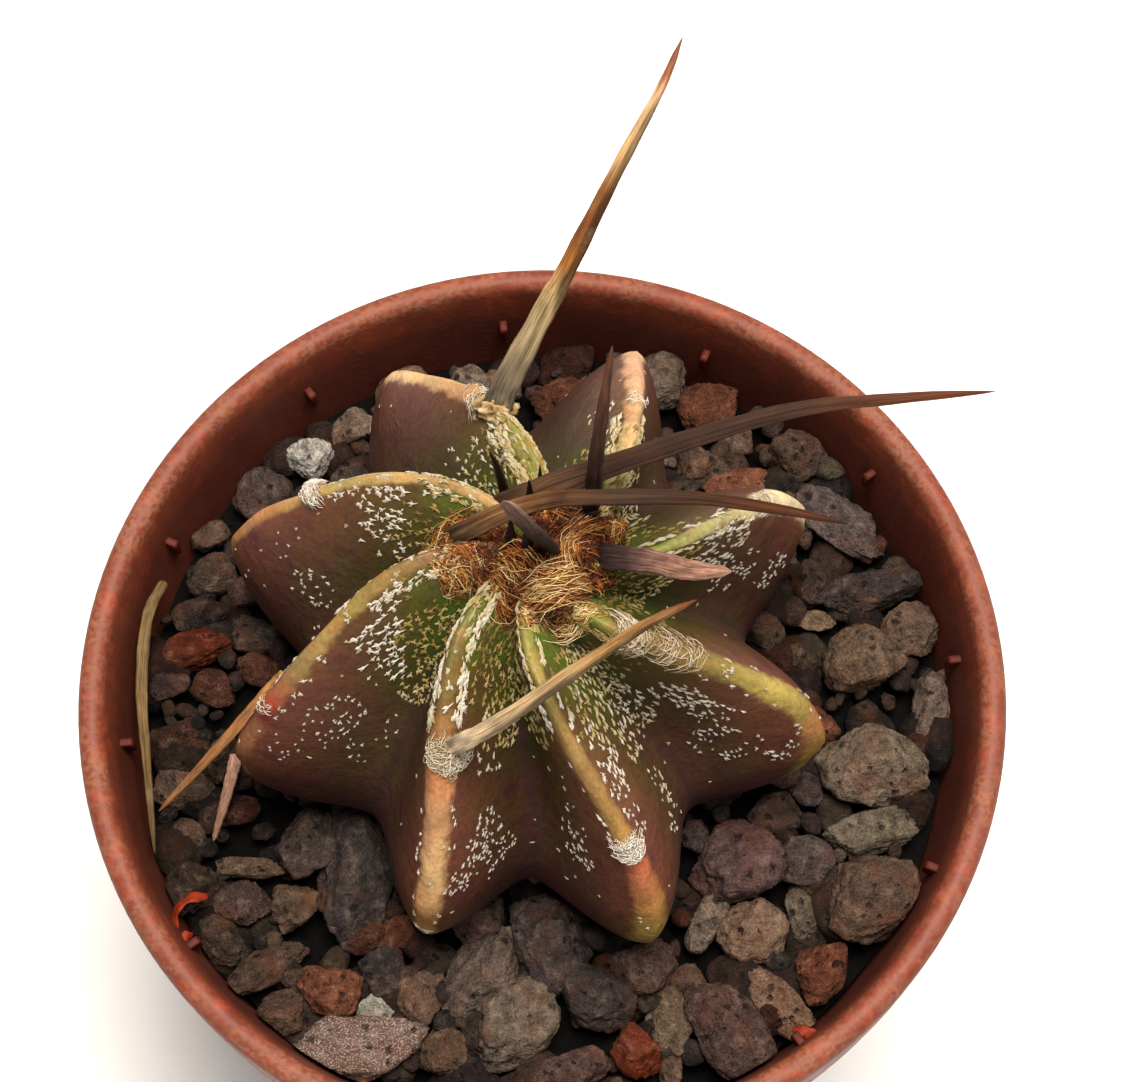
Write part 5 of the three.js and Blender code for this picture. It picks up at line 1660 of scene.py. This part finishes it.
class FELT_OT_areoles(bpy.types.Operator):
    """Adds the felt tuft of each areole on the ribs"""

    bl_idname = "cactus.areole_felt"
    bl_label = "Areole felt"

    def execute(self, context):
        rng = np.random.default_rng(31)
        felt = wool_fibre("areole_felt", FELT_TINTS)
        pads, ball, _, _ = round_piece("areole_pads", 28, 14, len(AREOLES))
        steps = np.linspace(0, 1, 7)
        mounds = []
        mound_tones = []
        paths = []
        tones = []
        for rib, share, length, width, count, white, strand in AREOLES:
            # Pad: a low lumpy mound that follows the skin, higher where it is wide
            swell = 0.16 + 0.06 * width
            offset = Vector((7.3 * rib, 2.1, -4.4))
            lumps = np.array([noise.fractal(Vector(way) * 3 + offset, 0.7, 2.2, 4) for way in ball])
            along, aside = ball[:, 0] * 0.44 * length * MM, ball[:, 1] * 0.44 * width * MM
            turn, near = spots_beside(np.full(len(ball), float(rib)), np.full(len(ball), share), along, aside)
            _, _, out, _, _ = stem_frame(turn, near)
            height = swell * ball[:, 2] * (1 + 0.5 * lumps)
            mounds.append(stem_at(turn, near) + out * height[:, None] * MM)
            # Painted light and shade: raised lumps of a pad are lighter, its dips darker
            mound_tones.append(np.clip(white - 0.34 + 0.3 * lumps, 0, 1))

            # Hairs: short curls in every direction over the mound
            way = rng.uniform(0, 2 * np.pi, (count, 1))
            reach = np.sqrt(rng.uniform(0, 1, (count, 1)))
            heading = way + rng.normal(0, 1.1, (count, 1))
            size = strand * rng.uniform(0.5, 1.3, (count, 1)) * MM
            curl = rng.uniform(0.1, 0.26, (count, 1)) * size * np.sin(
                steps * rng.uniform(4, 9, (count, 1)) + rng.uniform(0, 6, (count, 1))
            )
            along = reach * np.cos(way) * length * 0.46 * MM + size * (steps - 0.4) * np.cos(heading)
            aside = reach * np.sin(way) * width * 0.46 * MM + size * (steps - 0.4) * np.sin(heading)
            along, aside = along - curl * np.sin(heading), aside + curl * np.cos(heading)
            turn, near = spots_beside(
                np.full(along.shape, float(rib)), np.full(along.shape, share), along, aside,
            )
            _, _, out, _, _ = stem_frame(turn, near)
            dome = swell * np.sqrt(np.clip(1 - reach**2, 0, 1)) + 0.04
            rise = (dome + rng.uniform(-0.04, 0.4, (count, 1)) * np.sin(np.pi * steps)) * MM
            paths.append(stem_at(turn, near) + out * rise[..., None])
            # Painted light: hairs that stand higher over the pad are lighter
            tones.append(white - 0.16 + 0.7 * (rise[:, 3] / MM - dome[:, 0]) + rng.normal(0, 0.16, count))
        lay(pads, np.concatenate(mounds))
        paint(pads, "strand_tone", np.concatenate(mound_tones))
        finish_piece(pads, felt, "crown_wool")
        lumpy_balls("areole_knob", [REAR_KNOB], 40, felt, "crown_wool")
        tones = np.clip(np.concatenate(tones), 0, 1)
        strand_piece("areole_felt", np.concatenate(paths), settings("wool").strand, tones, felt, "crown_wool")
        return {"FINISHED"}


# Spines


def horn_spine(name, roughness, bleach):
    """Dried papery spine: fibrous plant horn, with fine lengthwise lines and grey bleached streaks."""
    material = new_material(name)
    coordinates = add_node(material, "TexCoord")
    place = coordinates.outputs["Object"]
    tint = add_node(material, "Attribute", attribute_name="length_tint")
    # About twenty fibres across the flat, each drawn out along the spine
    drawn = add_node(material, "Mapping", {"Vector": coordinates.outputs["UV"], "Scale": (46.0, 5.0, 1.0)})
    fibres = add_node(
        material, "TexNoise", {"Vector": drawn, "Scale": 1.0, "Detail": 5.0, "Roughness": 0.65},
    )
    blotches = add_node(
        material, "TexNoise", {"Vector": place, "Scale": 700.0, "Detail": 4.0, "Roughness": 0.6},
    )
    fibre_tone = add_node(
        material, "ValToRGB", {"Fac": fibres}, stops=[(0.38, 0.3), (0.47, 0.85), (0.62, 1.42)],
    )
    toned = add_node(
        material, "Mix", {0: 1.0, 6: tint, 7: fibre_tone}, data_type="RGBA", blend_type="MULTIPLY",
    )
    bleach_share = add_node(material, "ValToRGB", {"Fac": blotches}, stops=[(0.52, 0.0), (0.75, 0.3)])
    bleached = add_node(
        material, "Mix", {0: bleach_share, 6: toned.outputs[2], 7: linear(bleach)}, data_type="RGBA",
    )
    bump = add_node(material, "Bump", {"Height": fibres, "Strength": 0.7, "Distance": 0.00008})
    shader = add_node(
        material, "BsdfPrincipled",
        {"Base Color": bleached.outputs[2], "Roughness": roughness, "Specular IOR Level": 0.2,
         "Normal": bump},
    )
    add_node(material, "OutputMaterial", {"Surface": shader})
    return material


def route_at(route, share):
    """A smooth line in space through the stops of a route, and the way it runs, as in the CAD source."""
    stops = np.array(route, float)
    stops = np.vstack([2 * stops[0] - stops[1], stops, 2 * stops[-1] - stops[-2]])
    spots, slope = spline_at(stops, share)
    return spots, unit(slope)


def spine_piece(name, spines, number):
    """One flat tapering spine with grooves along it."""
    route, widths, thickness, facing, tints, slot = SPINES[name]
    piece, _, level, way = round_piece(name + "_horn", spines.around, spines.along)
    centre, ahead = route_at(route, level)
    side, up = ways_across(ahead, np.array(facing, float))
    rng = np.random.default_rng(100 + number)
    width = np.interp(level, np.linspace(0, 1, len(widths)), widths) / 2
    blunt = np.sqrt(np.clip(level / 0.025, 0, 1))
    sharp = np.clip((1 - level) / 0.06, 0, 1) ** 0.6
    ragged = 1 + 0.035 * np.sin(level * 37 + number) + 0.03 * np.sin(level * 83 + 2 * number)
    width = width * blunt * sharp * ragged
    deep = thickness / 2 * np.interp(level, [0, 0.15, 0.8, 1], [1, 0.85, 0.6, 0.3]) * blunt * sharp
    cos, sin = np.cos(way), np.sin(way)
    flat = np.sign(sin) * np.abs(sin) ** 0.75
    for _ in range(4):
        middle = rng.uniform(-0.75, 0.75) + 0.1 * np.sin(level * rng.uniform(3, 9) + rng.uniform(0, 6))
        flat = flat * (1 - spines.groove * np.exp(-(((cos - middle) / 0.1) ** 2)))
    roll = np.radians(6 * np.sin(level * rng.uniform(3, 6) + rng.uniform(0, 6)))
    wide, high = width * cos, deep * flat
    wide, high = wide * np.cos(roll) - high * np.sin(roll), wide * np.sin(roll) + high * np.cos(roll)
    lay(piece, (centre + wide[:, None] * side + high[:, None] * up) * MM)
    # Long brown blotches, and on the weathered spines one edge that stayed brown
    tint = tint_at(tints, level)
    spots = np.column_stack([1.6 * cos, 14 * level, np.full(len(level), 3.7 * number)])
    blotch = np.array([noise.fractal(Vector(spot), 0.8, 2.2, 4) for spot in spots])
    edge = 0.85 * np.clip(1.5 * cos + 0.1, 0, 1)
    edge = edge * np.interp(level, [0, 0.3, 0.4, 0.78, 0.86], [0, 0, 1, 1, 0])
    tint[:, :3] *= (1 + 0.55 * blotch - edge * (slot == "spine_weathered"))[:, None].clip(0.3, 1.5)
    paint(piece, "length_tint", tint)
    bleach = "#4c2e20" if slot == "spine_dark" else "#8c7a5c"
    finish_piece(piece, horn_spine(name + "_horn", 0.62, bleach), slot, name)


class SPINES_OT_long(bpy.types.Operator):
    """Adds the seven long papery spines that stand on the stem"""

    bl_idname = "cactus.long_spines"
    bl_label = "Long spines"

    def execute(self, context):
        for number, name in enumerate(SPINES):
            if not name.startswith("fallen"):
                spine_piece(name, settings("spines"), number)
        return {"FINISHED"}


class SPINES_OT_fallen(bpy.types.Operator):
    """Adds the three dropped spines that lie on the gravel"""

    bl_idname = "cactus.fallen_spines"
    bl_label = "Fallen spines"

    def execute(self, context):
        for number, name in enumerate(SPINES):
            if name.startswith("fallen"):
                spine_piece(name, settings("spines"), number)
        return {"FINISHED"}


class CACTUS_PT_panel(bpy.types.Panel):
    """Lists the pieces of the potted cactus in the order in which they are added."""

    bl_idname = "CACTUS_PT_panel"
    bl_label = "Potted cactus"
    bl_space_type = "VIEW_3D"
    bl_region_type = "UI"
    bl_category = "Cactus"

    def draw(self, context):
        for operator in OPERATORS:
            self.layout.operator(operator.bl_idname)
        for name, group in SETTINGS.items():
            box = self.layout.box()
            box.label(text=name.title())
            for key in group.__annotations__:
                box.prop(settings(name), key)


SETTINGS = {
    "stage": StageSettings,
    "pot": PotSettings,
    "gravel": GravelSettings,
    "stem": StemSettings,
    "wool": WoolSettings,
    "spines": SpineSettings,
}
OPERATORS = [
    STAGE_OT_photo, POT_OT_add, GRAVEL_OT_add, STEM_OT_add, FLECKS_OT_add, FELT_OT_areoles, WOOL_OT_crown,
    SPINES_OT_long, SPINES_OT_fallen,
]


def register():
    for name, group in SETTINGS.items():
        bpy.utils.register_class(group)
        setattr(bpy.types.Scene, "cactus_" + name, PointerProperty(type=group))
    for operator in OPERATORS:
        bpy.utils.register_class(operator)
    bpy.utils.register_class(CACTUS_PT_panel)


def unregister():
    bpy.utils.unregister_class(CACTUS_PT_panel)
    for operator in reversed(OPERATORS):
        bpy.utils.unregister_class(operator)
    for name, group in SETTINGS.items():
        delattr(bpy.types.Scene, "cactus_" + name)
        bpy.utils.unregister_class(group)


def main():
    register()
    bpy.ops.cactus.stage()
    bpy.ops.cactus.pot()
    bpy.ops.cactus.gravel()
    bpy.ops.cactus.stem()
    bpy.ops.cactus.flecks()
    bpy.ops.cactus.areole_felt()
    bpy.ops.cactus.crown_wool()
    bpy.ops.cactus.long_spines()
    bpy.ops.cactus.fallen_spines()


if __name__ == "__main__":
    main()
